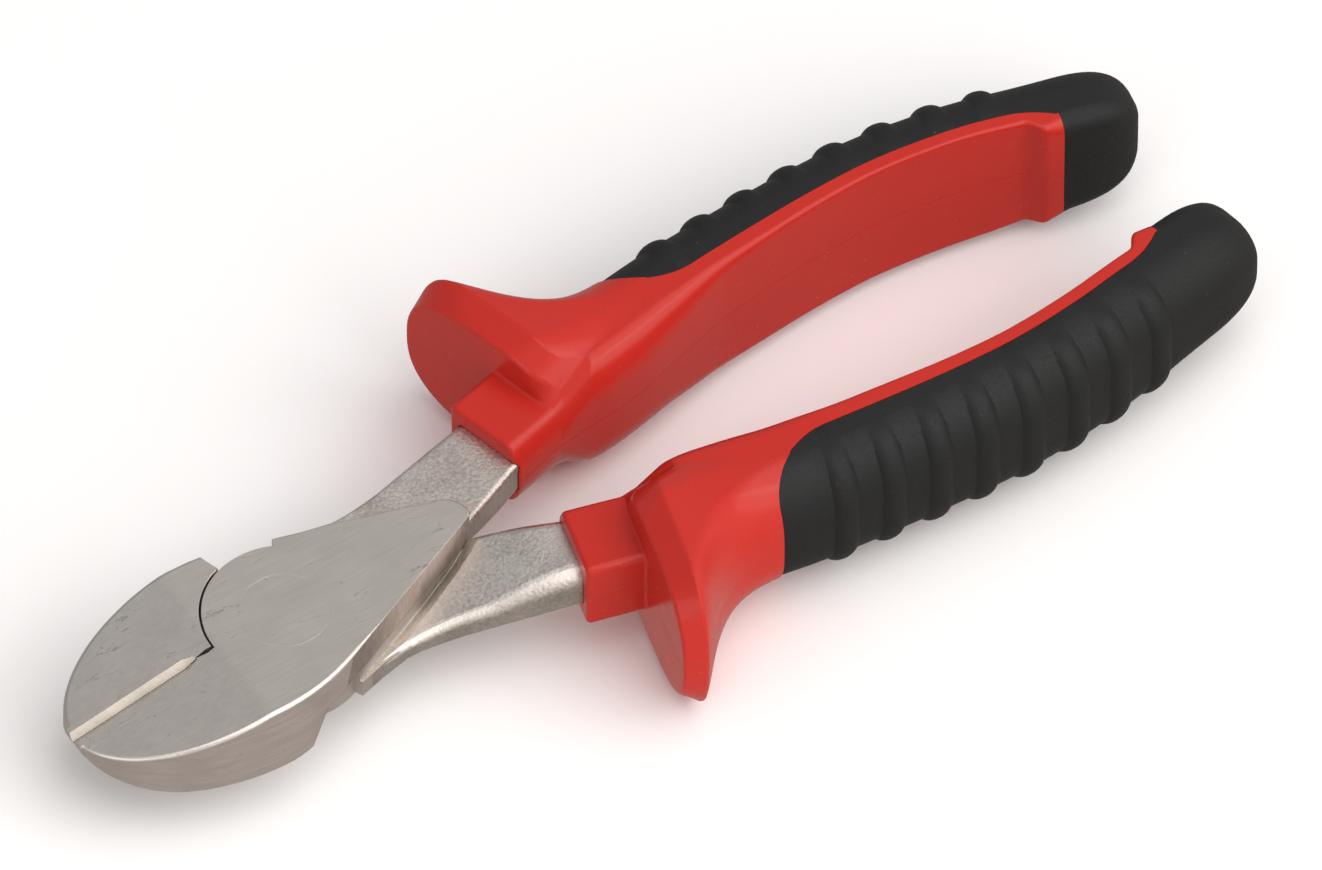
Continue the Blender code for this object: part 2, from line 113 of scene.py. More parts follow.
def add_node(
    tree: bpy.types.NodeTree,
    kind: str,
    inputs: Mapping[str | int, object] | None = None,
    **settings: object,
) -> bpy.types.Node:
    """Add a node with its settings, values and links.

    Args:
        tree: The material's node tree.
        kind: The node's type.
        inputs: A value, or a socket to link from, for each input.
        **settings: Properties of the node itself.

    Returns:
        The new node.
    """
    node = tree.nodes.new(kind)
    for name, value in settings.items():
        setattr(node, name, value)
    for name, value in (inputs or {}).items():
        if isinstance(value, bpy.types.NodeSocket):
            tree.links.new(value, node.inputs[name])
        else:
            node.inputs[name].default_value = value
    return node


def new_material(name: str) -> tuple[bpy.types.Material, bpy.types.NodeTree, bpy.types.NodeSocket]:
    """Start a material.

    Args:
        name: What the real material is.

    Returns:
        The material, its node tree and its Object coordinates.
    """
    material = bpy.data.materials.new(name)
    material.use_nodes = True
    tree = material.node_tree
    coordinates = add_node(tree, "ShaderNodeTexCoord")
    return material, tree, coordinates.outputs["Object"]


@dataclass(frozen=True)
class NickelPlate:
    """Satin nickel plate on steel: what the steel was ground or forged to shows through it.

    Attributes:
        name: The finish, as a maker would say it.
        bright: Colour where the plate is clean.
        dull: Colour of the faint clouds in it.
        roughness: Lowest and highest roughness along the grain.
        grain: Size of a mark of the grain along X, Y and Z, in millimetres.
        grain_turn: Turn of the grain about Z, in degrees.
        grain_depth: Depth of the grain, in millimetres.
        scratches: How strongly the wandering scratches show.
    """

    name: str
    bright: str
    dull: str
    roughness: Point
    grain: tuple[float, float, float]
    grain_turn: float
    grain_depth: float
    scratches: float
    scratch: str = "#5E5A55"
    scratch_size: Point = (22.0, 3.5)
    scratch_width: float = 0.005
    cloud_size: float = 7.0
    bright_range: Point = (0.75, 1.25)
    patch_range: Point = (0.48, 0.6)

    def build(self) -> bpy.types.Material:
        """Make the material from its grain, clouds and scratches."""
        material, tree, place = new_material(self.name)
        turn = (0, 0, math.radians(self.grain_turn))
        scale = tuple(per_metre(size) for size in self.grain)
        lie = add_node(tree, "ShaderNodeMapping", {"Vector": place, "Rotation": turn, "Scale": scale})
        grain = add_node(
            tree, "ShaderNodeTexNoise", {"Vector": lie.outputs[0], "Scale": 1.0, "Detail": 3.0}
        )
        cloud_scale = per_metre(self.cloud_size)
        clouds = add_node(
            tree, "ShaderNodeTexNoise", {"Vector": place, "Scale": cloud_scale, "Detail": 2.0}
        )
        scratches = self.add_scratches(tree, place, turn, clouds.outputs[0])
        both = add_node(
            tree, "ShaderNodeMath", {0: grain.outputs[0], 1: clouds.outputs[0]}, operation="ADD"
        )
        low, high = self.bright_range
        spread = add_node(
            tree, "ShaderNodeMapRange", {VALUE: both.outputs[0], FROM_LOW: low, FROM_HIGH: high}
        )
        plate = add_node(
            tree,
            "ShaderNodeMix",
            {MIX_FACTOR: spread.outputs[0], MIX_A: linear(self.dull), MIX_B: linear(self.bright)},
            data_type="RGBA",
        )
        marked = add_node(
            tree,
            "ShaderNodeMix",
            {MIX_FACTOR: scratches, MIX_A: plate.outputs[MIX_RESULT], MIX_B: linear(self.scratch)},
            data_type="RGBA",
        )
        low, high = self.roughness
        rough = add_node(
            tree,
            "ShaderNodeMapRange",
            {
                VALUE: grain.outputs[0],
                FROM_LOW: NOISE_LOW,
                FROM_HIGH: NOISE_HIGH,
                TO_LOW: low,
                TO_HIGH: high,
            },
        )
        height = add_node(
            tree, "ShaderNodeMath", {0: grain.outputs[0], 1: scratches}, operation="SUBTRACT"
        )
        depth = self.grain_depth * MM
        bump = add_node(tree, "ShaderNodeBump", {"Height": height.outputs[0], "Distance": depth})
        shader = tree.nodes["Principled BSDF"]
        shader.inputs["Metallic"].default_value = 1.0
        tree.links.new(marked.outputs[MIX_RESULT], shader.inputs["Base Color"])
        tree.links.new(rough.outputs[0], shader.inputs["Roughness"])
        tree.links.new(bump.outputs[0], shader.inputs["Normal"])
        return material

    def add_scratches(
        self,
        tree: bpy.types.NodeTree,
        place: bpy.types.NodeSocket,
        turn: tuple[float, float, float],
        clouds: bpy.types.NodeSocket,
    ) -> bpy.types.NodeSocket:
        """Add the fine lines that wander along the grain, in patches.

        Args:
            tree: The material's node tree.
            place: Object coordinates.
            turn: Turn of the grain, in radians.
            clouds: The noise that says where the patches are.

        Returns:
            A socket that is above zero on a line.
        """
        along, across = (per_metre(size) for size in self.scratch_size)
        scale = (along, across, across)
        lie = add_node(tree, "ShaderNodeMapping", {"Vector": place, "Rotation": turn, "Scale": scale})
        field = add_node(
            tree, "ShaderNodeTexNoise", {"Vector": lie.outputs[0], "Scale": 1.0, "Detail": 4.0}
        )
        offset = add_node(
            tree, "ShaderNodeMath", {0: field.outputs[0], 1: NOISE_MIDDLE}, operation="SUBTRACT"
        )
        away = add_node(tree, "ShaderNodeMath", {0: offset.outputs[0]}, operation="ABSOLUTE")
        width, strength = self.scratch_width, self.scratches
        line = add_node(
            tree,
            "ShaderNodeMapRange",
            {VALUE: away.outputs[0], FROM_LOW: 0.0, FROM_HIGH: width, TO_LOW: strength, TO_HIGH: 0.0},
        )
        low, high = self.patch_range
        patch = add_node(tree, "ShaderNodeMapRange", {VALUE: clouds, FROM_LOW: low, FROM_HIGH: high})
        shown = add_node(
            tree, "ShaderNodeMath", {0: line.outputs[0], 1: patch.outputs[0]}, operation="MULTIPLY"
        )
        return shown.outputs[0]


@dataclass(frozen=True)
class Moulding:
    """Injection-moulded plastic: an even colour, a faint unevenness in the skin and a few pale specks.

    Attributes:
        name: The plastic, as a maker would say it.
        colour: Its colour.
        shade: The same where the skin is a little darker.
        speck: Colour of the specks of dust and wear.
        roughness: Lowest and highest roughness.
        skin: Size of the unevenness of the skin, in millimetres.
        skin_depth: Depth of that unevenness, in millimetres.
        speck_size: Size of the specks, in millimetres.
        speck_level: Noise value above which a speck shows.
        specular: Specular level of the shader.
    """

    name: str
    colour: str
    shade: str
    speck: str
    roughness: Point
    skin: float
    skin_depth: float
    speck_size: float
    speck_level: float
    specular: float
    speck_fade: float = 0.06
    broad_size: float = 18.0

    def build(self) -> bpy.types.Material:
        """Make the material from its skin and specks."""
        material, tree, place = new_material(self.name)
        skin = add_node(
            tree, "ShaderNodeTexNoise", {"Vector": place, "Scale": per_metre(self.skin), "Detail": 3.0}
        )
        broad = add_node(tree, "ShaderNodeTexNoise", {"Vector": place, "Scale": per_metre(self.broad_size)})
        dust = add_node(tree, "ShaderNodeTexNoise", {"Vector": place, "Scale": per_metre(self.speck_size)})
        colour = add_node(
            tree,
            "ShaderNodeMix",
            {MIX_FACTOR: broad.outputs[0], MIX_A: linear(self.shade), MIX_B: linear(self.colour)},
            data_type="RGBA",
        )
        level, full = self.speck_level, self.speck_level + self.speck_fade
        specks = add_node(
            tree, "ShaderNodeMapRange", {VALUE: dust.outputs[0], FROM_LOW: level, FROM_HIGH: full}
        )
        flecked = add_node(
            tree,
            "ShaderNodeMix",
            {MIX_FACTOR: specks.outputs[0], MIX_A: colour.outputs[MIX_RESULT], MIX_B: linear(self.speck)},
            data_type="RGBA",
        )
        low, high = self.roughness
        rough = add_node(
            tree,
            "ShaderNodeMapRange",
            {
                VALUE: skin.outputs[0],
                FROM_LOW: NOISE_LOW,
                FROM_HIGH: NOISE_HIGH,
                TO_LOW: low,
                TO_HIGH: high,
            },
        )
        depth = self.skin_depth * MM
        bump = add_node(tree, "ShaderNodeBump", {"Height": skin.outputs[0], "Distance": depth})
        shader = tree.nodes["Principled BSDF"]
        shader.inputs["Specular IOR Level"].default_value = self.specular
        tree.links.new(flecked.outputs[MIX_RESULT], shader.inputs["Base Color"])
        tree.links.new(rough.outputs[0], shader.inputs["Roughness"])
        tree.links.new(bump.outputs[0], shader.inputs["Normal"])
        return material


class SteelFinish(Enum):
    """The finishes of the plated steel, in the order of a half's materials; two wall finishes are paler and
    darker copies of the plating, painted light and painted shade.
    """

    # Plated after fine grinding along the tool: satin, with long faint marks, drawn wider to show, and a
    # few wandering scratches
    GROUND_FACE = NickelPlate(
        name="satin_nickel_on_ground_steel",
        bright="#D6D1CA",
        dull="#CCC7C0",
        roughness=(0.32, 0.38),
        grain=(9.0, 0.3, 0.3),
        grain_turn=-9.0,
        grain_depth=0.002,
        scratches=0.5,
    )
    # Ground lengthwise on a belt round the jaws: faint long marks, drawn wider to show. Its colour, paler
    # and warmer than the ground face's, is painted light on the jaw walls
    GROUND_WALL_PAINTED_LIGHT = NickelPlate(
        name="belt_ground_nickel_wall_painted_light",
        bright="#E6DEDA",
        dull="#DAD2CC",
        roughness=(0.36, 0.44),
        grain=(6.0, 6.0, 0.4),
        grain_turn=0.0,
        grain_depth=0.004,
        scratches=0.2,
    )
    # Left as the drop forge and the shot blast made it: pebbly, drawn coarser to show, with bright points
    FORGED_SKIN = NickelPlate(
        name="satin_nickel_on_blasted_forging",
        bright="#D8D2CC",
        dull="#BAB4AC",
        roughness=(0.30, 0.50),
        grain=(0.45, 0.45, 0.45),
        grain_turn=0.0,
        grain_depth=0.06,
        scratches=0.12,
    )
    # Filed and induction hardened after plating: bare, pale and coarse
    CUTTING_EDGE = NickelPlate(
        name="filed_hardened_cutting_edge",
        bright="#CFC8BE",
        dull="#B9B2A9",
        roughness=(0.5, 0.7),
        grain=(0.5, 0.5, 0.5),
        grain_turn=0.0,
        grain_depth=0.03,
        scratches=0.1,
    )
    # Milled across beside the joint, with short marks; its duller, browner colour is painted shade on the
    # walls beside the joint and along the tang
    MILLED_WALL_PAINTED_SHADE = NickelPlate(
        name="milled_nickel_wall_painted_shade",
        bright="#CABEB8",
        dull="#A89C96",
        roughness=(0.4, 0.52),
        grain=(0.35, 0.35, 3.0),
        grain_turn=0.0,
        grain_depth=0.02,
        scratches=0.2,
    )

    @property
    def index(self) -> int:
        """Its place among a half's materials."""
        return list(SteelFinish).index(self)


# Hard polypropylene from a polished mould: glossy, with a slight orange peel
RED_PLASTIC = Moulding(
    name="glossy_red_polypropylene",
    colour="#C02D24",
    shade="#BA2A21",
    speck="#C8463E",
    roughness=(0.20, 0.28),
    skin=2.5,
    skin_depth=0.004,
    speck_size=0.6,
    speck_level=0.83,
    specular=0.27,
)
# Soft thermoplastic rubber from a spark-eroded mould: matt, with a fine grain that is drawn coarser to show
BLACK_RUBBER = Moulding(
    name="matt_black_thermoplastic_rubber",
    colour="#1C1D1E",
    shade="#181919",
    speck="#4C4C4A",
    roughness=(0.52, 0.68),
    skin=0.35,
    skin_depth=0.02,
    speck_size=0.55,
    speck_level=0.74,
    specular=0.3,
)


class Layer(Enum):
    """The two lapped halves; each name is also the name of the body that the half's pieces ride on."""

    FRONT = "front"
    REAR = "rear"

    @property
    def flip(self) -> int:
        """1 where the half's own layer is at the tool's front, -1 where it is at the back."""
        return 1 if self is Layer.FRONT else -1

    def placing(self) -> Matrix:
        """The way from millimetres about the middle of the joint to the frame."""
        low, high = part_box("pivot_rivet")
        middle = Matrix.Translation((0, 0, (low.z + high.z) / 2))
        turn = Matrix.Rotation(0 if self is Layer.FRONT else math.pi, 4, "X")
        return middle @ turn @ Matrix.Scale(MM, 4)


@dataclass(frozen=True)
class Curve:
    """A smooth line through a few (x, value) points, level beyond its ends."""

    points: tuple[Point, ...]

    def slope(self, i: int) -> float:
        """The slope at one of the points, from its neighbours."""
        before, after = self.points[max(i - 1, 0)], self.points[min(i + 1, len(self.points) - 1)]
        return (after[1] - before[1]) / (after[0] - before[0])

    def at(self, x: float) -> float:
        """The value at x.

        Args:
            x: Where to read the line.

        Returns:
            The height of the cubic between the two points beside x.
        """
        first, last = self.points[0], self.points[-1]
        if x <= first[0]:
            return first[1]
        if x >= last[0]:
            return last[1]
        i = max(k for k, point in enumerate(self.points) if point[0] <= x)
        (x0, y0), (x1, y1) = self.points[i], self.points[i + 1]
        run = x1 - x0
        u = (x - x0) / run
        bend = self.slope(i) * (u - 2 * u**2 + u**3) + self.slope(i + 1) * (u**3 - u**2)
        return y0 + (3 * u**2 - 2 * u**3) * (y1 - y0) + bend * run


def steps_between(start: float, end: float, count: int) -> list[float]:
    """Even steps from start to end, both included."""
    return [start + (end - start) * i / (count - 1) for i in range(count)]


def smooth_step(x: float, start: float, end: float) -> float:
    """A share that eases from 0 at start to 1 at end."""
    u = min(1.0, max(0.0, (x - start) / (end - start)))
    return u * u * (3 - 2 * u)


def polar(radius: float, degrees: float) -> Point:
    """A point by its distance from the pivot and its angle from +X."""
    angle = math.radians(degrees)
    return (radius * math.cos(angle), radius * math.sin(angle))


def corner(centre: Point, radii: Point, turn: Point, steps: int, power: float = 2.0) -> Points:
    """Points round a corner.

    Args:
        centre: Middle of the curve.
        radii: Its half sizes.
        turn: Angles at its two ends, in degrees.
        steps: Number of steps between them.
        power: 2 for an ellipse, less for a flatter corner with a crease at each end.

    Returns:
        The points, both ends included.
    """
    points = []
    for degrees in steps_between(*turn, steps + 1):
        c, s = polar(1.0, degrees)
        across = math.copysign(abs(c) ** (2 / power), c)
        up = math.copysign(abs(s) ** (2 / power), s)
        points.append((centre[0] + radii[0] * across, centre[1] + radii[1] * up))
    return points


def resampled(path: Points, count: int) -> Points:
    """The same path with points at even distances.

    Args:
        path: Corners of the path.
        count: Number of points wanted.

    Returns:
        The points, both ends included.
    """
    reach = [0.0]
    for here, after in zip(path, path[1:]):
        reach.append(reach[-1] + math.dist(here, after))
    points = []
    for along in steps_between(0.0, reach[-1], count):
        i = min(max(k for k in range(len(path)) if reach[k] <= along + WELD), len(path) - 2)
        share = (along - reach[i]) / max(reach[i + 1] - reach[i], WELD)
        points.append(tuple(Vector(path[i]).lerp(Vector(path[i + 1]), share)))
    return points


def mirrored(points: Points) -> Points:
    """The upper half of a section, read back along its underside."""
    return [(t, -z) for t, z in reversed(points)]


def sweep(rings: Sequence[Sequence[Sequence[float]]]) -> BMesh:
    """Grow a closed solid from its first ring through all the others.

    Args:
        rings: Rings of points with one count, in order along the solid.

    Returns:
        The solid; its vertices carry the number of their ring in the layer "ring".
    """
    bm = bmesh.new()
    number = bm.verts.layers.int.new("ring")
    cap = bm.faces.new([bm.verts.new(point) for point in rings[0]])
    for i, ring in enumerate(rings[1:], start=1):
        grown = bmesh.ops.extrude_face_region(bm, geom=[cap, *cap.edges])["geom"]
        cap = next(item for item in grown if isinstance(item, BMFace))
        for vert, point in zip(cap.verts, ring):
            vert.co = point
            vert[number] = i
    bmesh.ops.remove_doubles(bm, verts=bm.verts, dist=WELD)
    bmesh.ops.recalc_face_normals(bm, faces=bm.faces)
    return bm


def prism(outline: Points, low: float, high: float) -> BMesh:
    """A flat outline seen from above, between two heights."""
    return sweep([[(x, y, z) for x, y in outline] for z in (low, high)])


def turned(profile: Points, sides: int) -> BMesh:
    """Turn a profile about Z.

    Args:
        profile: Points of radius and height that start and end on the axis.
        sides: Number of steps round.

    Returns:
        The closed solid.
    """
    bm = bmesh.new()
    verts = [bm.verts.new((radius, 0, height)) for radius, height in profile]
    edges = [bm.edges.new(pair) for pair in zip(verts, verts[1:])]
    bmesh.ops.spin(
        bm,
        geom=verts + edges,
        cent=(0, 0, 0),
        axis=(0, 0, 1),
        angle=math.tau,
        steps=sides,
        use_merge=True,
    )
    bmesh.ops.remove_doubles(bm, verts=bm.verts, dist=WELD)
    bmesh.ops.recalc_face_normals(bm, faces=bm.faces)
    return bm


def working_object(bm: BMesh) -> bpy.types.Object:
    """Put a solid, which is used up, on an object that modifiers can work on."""
    mesh = bpy.data.meshes.new("working")
    bm.to_mesh(mesh)
    bm.free()
    item = bpy.data.objects.new("working", mesh)
    bpy.context.scene.collection.objects.link(item)
    return item


def taken_from(items: Sequence[bpy.types.Object]) -> BMesh:
    """The modified solid of the first object; all of them are removed."""
    result = bmesh.new()
    result.from_object(items[0], bpy.context.evaluated_depsgraph_get())
    for item in items:
        bpy.data.objects.remove(item, do_unlink=True)
    return result


def combined(base: BMesh, *steps: tuple[str, BMesh]) -> BMesh:
    """Cut a solid by others, keep its overlap with them, or join them to it.

    Args:
        base: The solid to start from, which is used up.
        *steps: An operation and the solid it takes, in order; these are used up too.

    Returns:
        The resulting solid.
    """
    items = [working_object(bm) for bm in (base, *(solid for _, solid in steps))]
    for (operation, _), tool in zip(steps, items[1:]):
        modifier = items[0].modifiers.new(operation, "BOOLEAN")
        modifier.operation = operation
        modifier.solver = "EXACT"
        modifier.object = tool
    return taken_from(items)


def sharp_edges(bm: BMesh, angle: float) -> list[BMEdge]:
    """The edges where two faces meet at more than an angle in degrees."""
    limit = math.radians(angle)
    return [edge for edge in bm.edges if edge.is_manifold and edge.calc_face_angle() > limit]


def rounded(bm: BMesh, radius_of: Callable[[BMEdge], float], segments: int) -> BMesh:
    """Round sharp edges, each by its own radius.

    Args:
        bm: The solid, which is used up.
        radius_of: Width of the round for an edge, zero where it stays sharp.
        segments: Number of faces across a round.

    Returns:
        The rounded solid.
    """
    weight = bm.edges.layers.float.new("bevel_weight_edge")
    radii = {edge: radius_of(edge) for edge in sharp_edges(bm, SMOOTH_ANGLE)}
    widest = max(radii.values())
    for edge, radius in radii.items():
        edge[weight] = radius / widest
    item = working_object(bm)
    modifier = item.modifiers.new("rounds", "BEVEL")
    modifier.limit_method = "WEIGHT"
    modifier.width = widest
    modifier.segments = segments
    modifier.use_clamp_overlap = False
    result = taken_from([item])
    # The rounds leave edges of almost no length where they meet, and a join to such a solid can fail
    bmesh.ops.dissolve_degenerate(result, edges=result.edges, dist=SHORTEST_EDGE)
    return result


def round_edges(bm: BMesh, edges: Iterable[BMEdge], radius: float, segments: int) -> None:
    """Round some edges.

    Args:
        bm: The solid.
        edges: Its edges to round.
        radius: Width of the round on each face.
        segments: Number of faces across it.
    """
    bmesh.ops.bevel(
        bm,
        geom=list(edges),
        offset=radius,
        affect="EDGES",
        segments=segments,
        profile=0.5,
        clamp_overlap=False,
        material=-1,
    )


def add_piece(
    name: str,
    bm: BMesh,
    placing: Matrix,
    materials: Sequence[bpy.types.Material],
    node: str,
    body: str,
) -> bpy.types.Object:
    """Put a finished solid into the scene in place of its node.

    Args:
        name: Name of the piece.
        bm: Its solid in millimetres about the middle of the joint, which is used up.
        placing: The way from there to the frame.
        materials: Its finishes, by face index.
        node: The node that it stands for.
        body: The body that it rides on.

    Returns:
        The piece.
    """
    bmesh.ops.transform(bm, matrix=placing, verts=bm.verts)
    for edge in sharp_edges(bm, SMOOTH_ANGLE):
        edge.smooth = False
    mesh = bpy.data.meshes.new(name)
    bm.to_mesh(mesh)
    bm.free()
    mesh.shade_smooth()
    for material in materials:
        mesh.materials.append(material)
    piece = bpy.data.objects.new(name, mesh)
    bpy.context.scene.collection.objects.link(piece)
    shading = piece.modifiers.new("even_shading", "WEIGHTED_NORMAL")
    shading.keep_sharp = True
    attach(piece, body)
    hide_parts(node)
    LOG.info("%s: %d faces for %s on %s", name, len(mesh.polygons), node, body)
    return piece


@dataclass
class ForgedHalf:
    """One forged half: jaw, lap joint, ground flat and tang, plated all over.

    Attributes:
        layer: Which of the two halves it is.
        half_thick: Half the thickness of the joint, in millimetres.
    """

    layer: Layer
    half_thick: float
    lap_gap: float = 0.03
    edge_gap: float = 0.06
    overcut: float = 5.0
    round_steps: int = 36
    curve_steps: int = 12
    bend_steps: int = 9

    disc_radius: float = 11.4
    seam_radius: float = 11.7
    step_angle: float = 65.5
    step_radius: float = 12.6
    shoulder_angle: float = 108.5
    shoulder_ramp: Point = (13.0, 97.0)
    seam_end_angle: float = 200.0
    bore_gap: float = 0.008

    nose_tip_x: float = -34.2
    jaw_root_x: float = -9.5
    jaw_width: float = 15.2
    jaw_draft: float = 0.7
    jaw_round: float = 1.9
    notch: tuple[Point, Point] = ((-14.3, 0.0), (-12.6, -0.35))
    slope_start_x: float = -11.0
    slope_ease: float = 0.8
    slope_steps: int = 7
    jaw_slope: float = 0.2
    back_curve_x: float = -22.0
    back_steps: int = 16
    edge_bevel: float = 0.95
    edge_land: float = 0.3
    relief_slope: float = 0.5
    relief_end_x: float = -19.0
    edge_fade: Point = (-16.0, 0.3)

    side_from: Point = (2.7, -12.2)
    side_to: Point = (30.1, 0.25)
    side_bend: float = 6.0
    side_ease: float = 9.0
    flat_edge: Curve = Curve(
        ((5.2, 11.5), (9.8, 10.2), (13.4, 9.45), (17.6, 8.0), (23.0, 6.5), (27.2, 5.0))
    )
    flat_nose: tuple[Point, Point, Point] = ((26.3, 1.55), (4.2, 3.7), (75.0, -10.0))
    flat_nose_steps: int = 8
    flat_underside: float = 2.2

    tang_outer: Curve = Curve(
        ((7.5, 10.8), (13.4, 9.9), (20.0, 10.7), (26.0, 12.3), (33.0, 14.4), (40.0, 16.2))
    )
    tang_top: Curve = Curve(((7.5, 4.7), (20.0, 4.3), (28.0, 3.8), (38.0, 3.3), (41.0, 3.2)))
    tang_under: Curve = Curve(
        ((7.5, 2.2), (14.0, 1.7), (20.0, 0.7), (26.0, -0.2), (31.0, -1.9), (36.0, -3.0), (41.0, -3.2))
    )
    tang_from_x: float = 7.5
    tang_open_to_x: float = 40.0
    tang_stations: int = 28
    tang_held: Curve = Curve(
        ((50.0, 4.2), (62.0, 3.4), (76.0, 2.6), (92.0, 2.3), (108.0, 2.0), (118.0, 1.7))
    )
    tang_held_thick: float = 3.2
    tang_rounds: tuple[float, float, float, float] = (1.9, 0.9, 1.0, 2.6)
    tang_round_room: Point = (6.4, 6.0)
    tang_inset: float = 0.02
    foot_gap: float = 0.05
    foot_lead: float = 0.01
    foot_stations: int = 20
    foot_width: float = 2.0
    foot_depth: Curve = Curve(((20.0, 1.5), (28.0, 1.5), (29.6, 0.6)))
    foot_power: float = 1.5
    tang_inner_from: float = -5.5
    tang_steps: int = 6

    rim_round: float = 0.5
    rim_fade_inset: float = 0.5
    edge_round: float = 0.08
    pad_round: float = 0.25
    pad_reach: float = 0.1
    seam_reach: float = 0.5
    round_segments: int = 3

    level_normal: float = 0.9
    inward_normal: float = 0.6
    edge_reach: float = 1.6
    edge_normal: float = 0.5
    plate_skin: float = 0.3
    side_reach: float = 0.4
    face_normal: float = 0.7
    milled_shade_normal: float = 0.4
    milled_shade_side_normal: float = -0.75

    def side_y(self, x: float) -> float:
        """The straight side of the tang, which runs on along the joint to the jaw."""
        (x0, y0), (x1, y1) = self.side_from, self.side_to
        return y0 + (y1 - y0) * (x - x0) / (x1 - x0)

    def side_x(self, y: float) -> float:
        """Where the straight side has a given y."""
        (x0, y0), (x1, y1) = self.side_from, self.side_to
        return x0 + (x1 - x0) * (y - y0) / (y1 - y0)

    def front_z(self, x: float) -> float:
        """The jaw's front face, which eases into a slope down to the tip."""
        past, ease = self.slope_start_x - x, self.slope_ease
        if past > ease:
            return self.half_thick - self.jaw_slope * past
        return self.half_thick - self.jaw_slope * max(0.0, past + ease) ** 2 / (4 * ease)

    def outline(self, swell: float) -> Points:
        """Jaw, disc and ground flat seen from above.

        Args:
            swell: How much wider the jaw is at this height.

        Returns:
            The outline, from the notch behind the cutting edge round the disc and the flat to the tip.
        """
        width = self.jaw_width + swell
        (notch_from, _), (notch_x, notch_y) = self.notch
        points = [(notch_from, -self.edge_gap), (notch_x, notch_y), (-self.disc_radius, notch_y / 2)]
        for degrees in steps_between(180.0, self.step_angle, self.round_steps):
            points.append(polar(self.disc_radius, degrees))
        points.append(polar(self.step_radius, self.step_angle))
        for x in steps_between(*self.flat_span(), self.curve_steps)[1:]:
            points.append((x, self.flat_edge.at(x)))
        points += corner(*self.flat_nose, self.flat_nose_steps)
        points.append(self.side_to)
        length = self.jaw_root_x - self.nose_tip_x
        turn_x = self.side_x(-width)
        bend_x = turn_x + self.side_bend
        for x in steps_between(bend_x + self.side_ease, bend_x, self.curve_steps)[:-1]:
            points.append((x, self.side_y(x)))
        start = Vector((bend_x, self.side_y(bend_x)))
        turn = Vector((turn_x, -width))
        end = Vector((self.jaw_root_x, -width))
        for share in steps_between(0.0, 1.0, self.bend_steps):
            points.append(tuple(start.lerp(turn, share).lerp(turn.lerp(end, share), share)))
        power = 2 / self.jaw_round
        for degrees in steps_between(0.0, NEAR_QUARTER, self.round_steps)[1:]:
            c, s = polar(1.0, degrees)
            points.append((self.jaw_root_x - length * s**power, -width * c**power))
        points.append((points[-1][0], -self.edge_gap))
        return points

    def flat_span(self) -> Point:
        """Where the long edge of the ground flat starts and ends along X."""
        return (self.flat_edge.points[0][0], self.flat_edge.points[-1][0])

    def side_profile(self) -> BMesh:
        """Front and back faces of the half seen from the side, wide enough for the whole plate."""
        far = self.side_to[0] + self.overcut
        reach = self.back_curve_x - self.nose_tip_x
        middle, ease = self.slope_start_x, self.slope_ease
        points = [(far, self.half_thick)]
        for x in steps_between(middle + ease, middle - ease, self.slope_steps):
            points.append((x, self.front_z(x)))
        points.append((self.nose_tip_x, self.front_z(self.nose_tip_x)))
        points += corner(
            (self.back_curve_x, 0.0), (reach, self.half_thick), (180.0, 270.0), self.back_steps
        )
        points.append((far, -self.half_thick))
        flip, wide = self.layer.flip, 2 * self.jaw_width
        return sweep([[(x, y, flip * z) for x, z in points] for y in (-wide, wide)])

    def edge_cut(self) -> BMesh:
        """What is ground away beside the cutting edge: a front bevel and a long relief behind."""
        back = -self.half_thick - self.overcut
        near = -self.edge_gap
        rings = []
        fade_x, least = self.edge_fade
        stations = (
            (self.nose_tip_x - self.overcut, self.edge_bevel, self.relief_slope),
            (self.relief_end_x, self.edge_bevel, self.relief_slope),
            (fade_x, self.edge_bevel, self.relief_slope / 2),
            (self.notch[0][0], least, 0.0),
        )
        for x, bevel, slope in stations:
            front = self.front_z(x)
            edge = front - bevel
            points = (
                (self.overcut, front + self.overcut),
                (near - bevel - self.overcut, front + self.overcut),
                (near, edge),
                (near, edge - self.edge_land),
                (near - slope * (edge - self.edge_land - back), back),
                (self.overcut, back),
            )
            rings.append([(x, y, self.layer.flip * z) for y, z in points])
        return sweep(rings)

    def lap_cut(self) -> BMesh:
        """Room below the lap face for the other half's disc and all beyond the jaw's ramped shoulder."""
        far = 3 * self.seam_radius
        ramp_radius, ramp_angle = self.shoulder_ramp
        levels = (
            (-self.half_thick - self.overcut, self.shoulder_angle),
            (-self.half_thick, self.shoulder_angle),
            (self.lap_gap, ramp_angle),
        )
        rings = []
        for z, angle in levels:
            points = [polar(far, -angle), polar(ramp_radius, -angle)]
            points.append(polar(ramp_radius, -self.shoulder_angle))
            for degrees in steps_between(self.shoulder_angle, self.seam_end_angle, self.round_steps):
                points.append(polar(self.seam_radius, -degrees))
            points += [(-self.seam_radius, far), (far, far), (far, -far)]
            rings.append([(x, y, z) for x, y in points])
        return sweep(rings)

    def underside_cut(self) -> BMesh:
        """The ground flat is thinner where it stands out past the side of the other half."""
        start_x = polar(self.disc_radius, self.step_angle)[0]
        end_x = self.side_to[0] + self.overcut
        far = 2 * self.step_radius
        points = [(x, -self.side_y(x)) for x in (start_x, end_x)]
        points += [(end_x, far), (start_x, far)]
        return prism(points, -self.overcut, self.flat_underside)

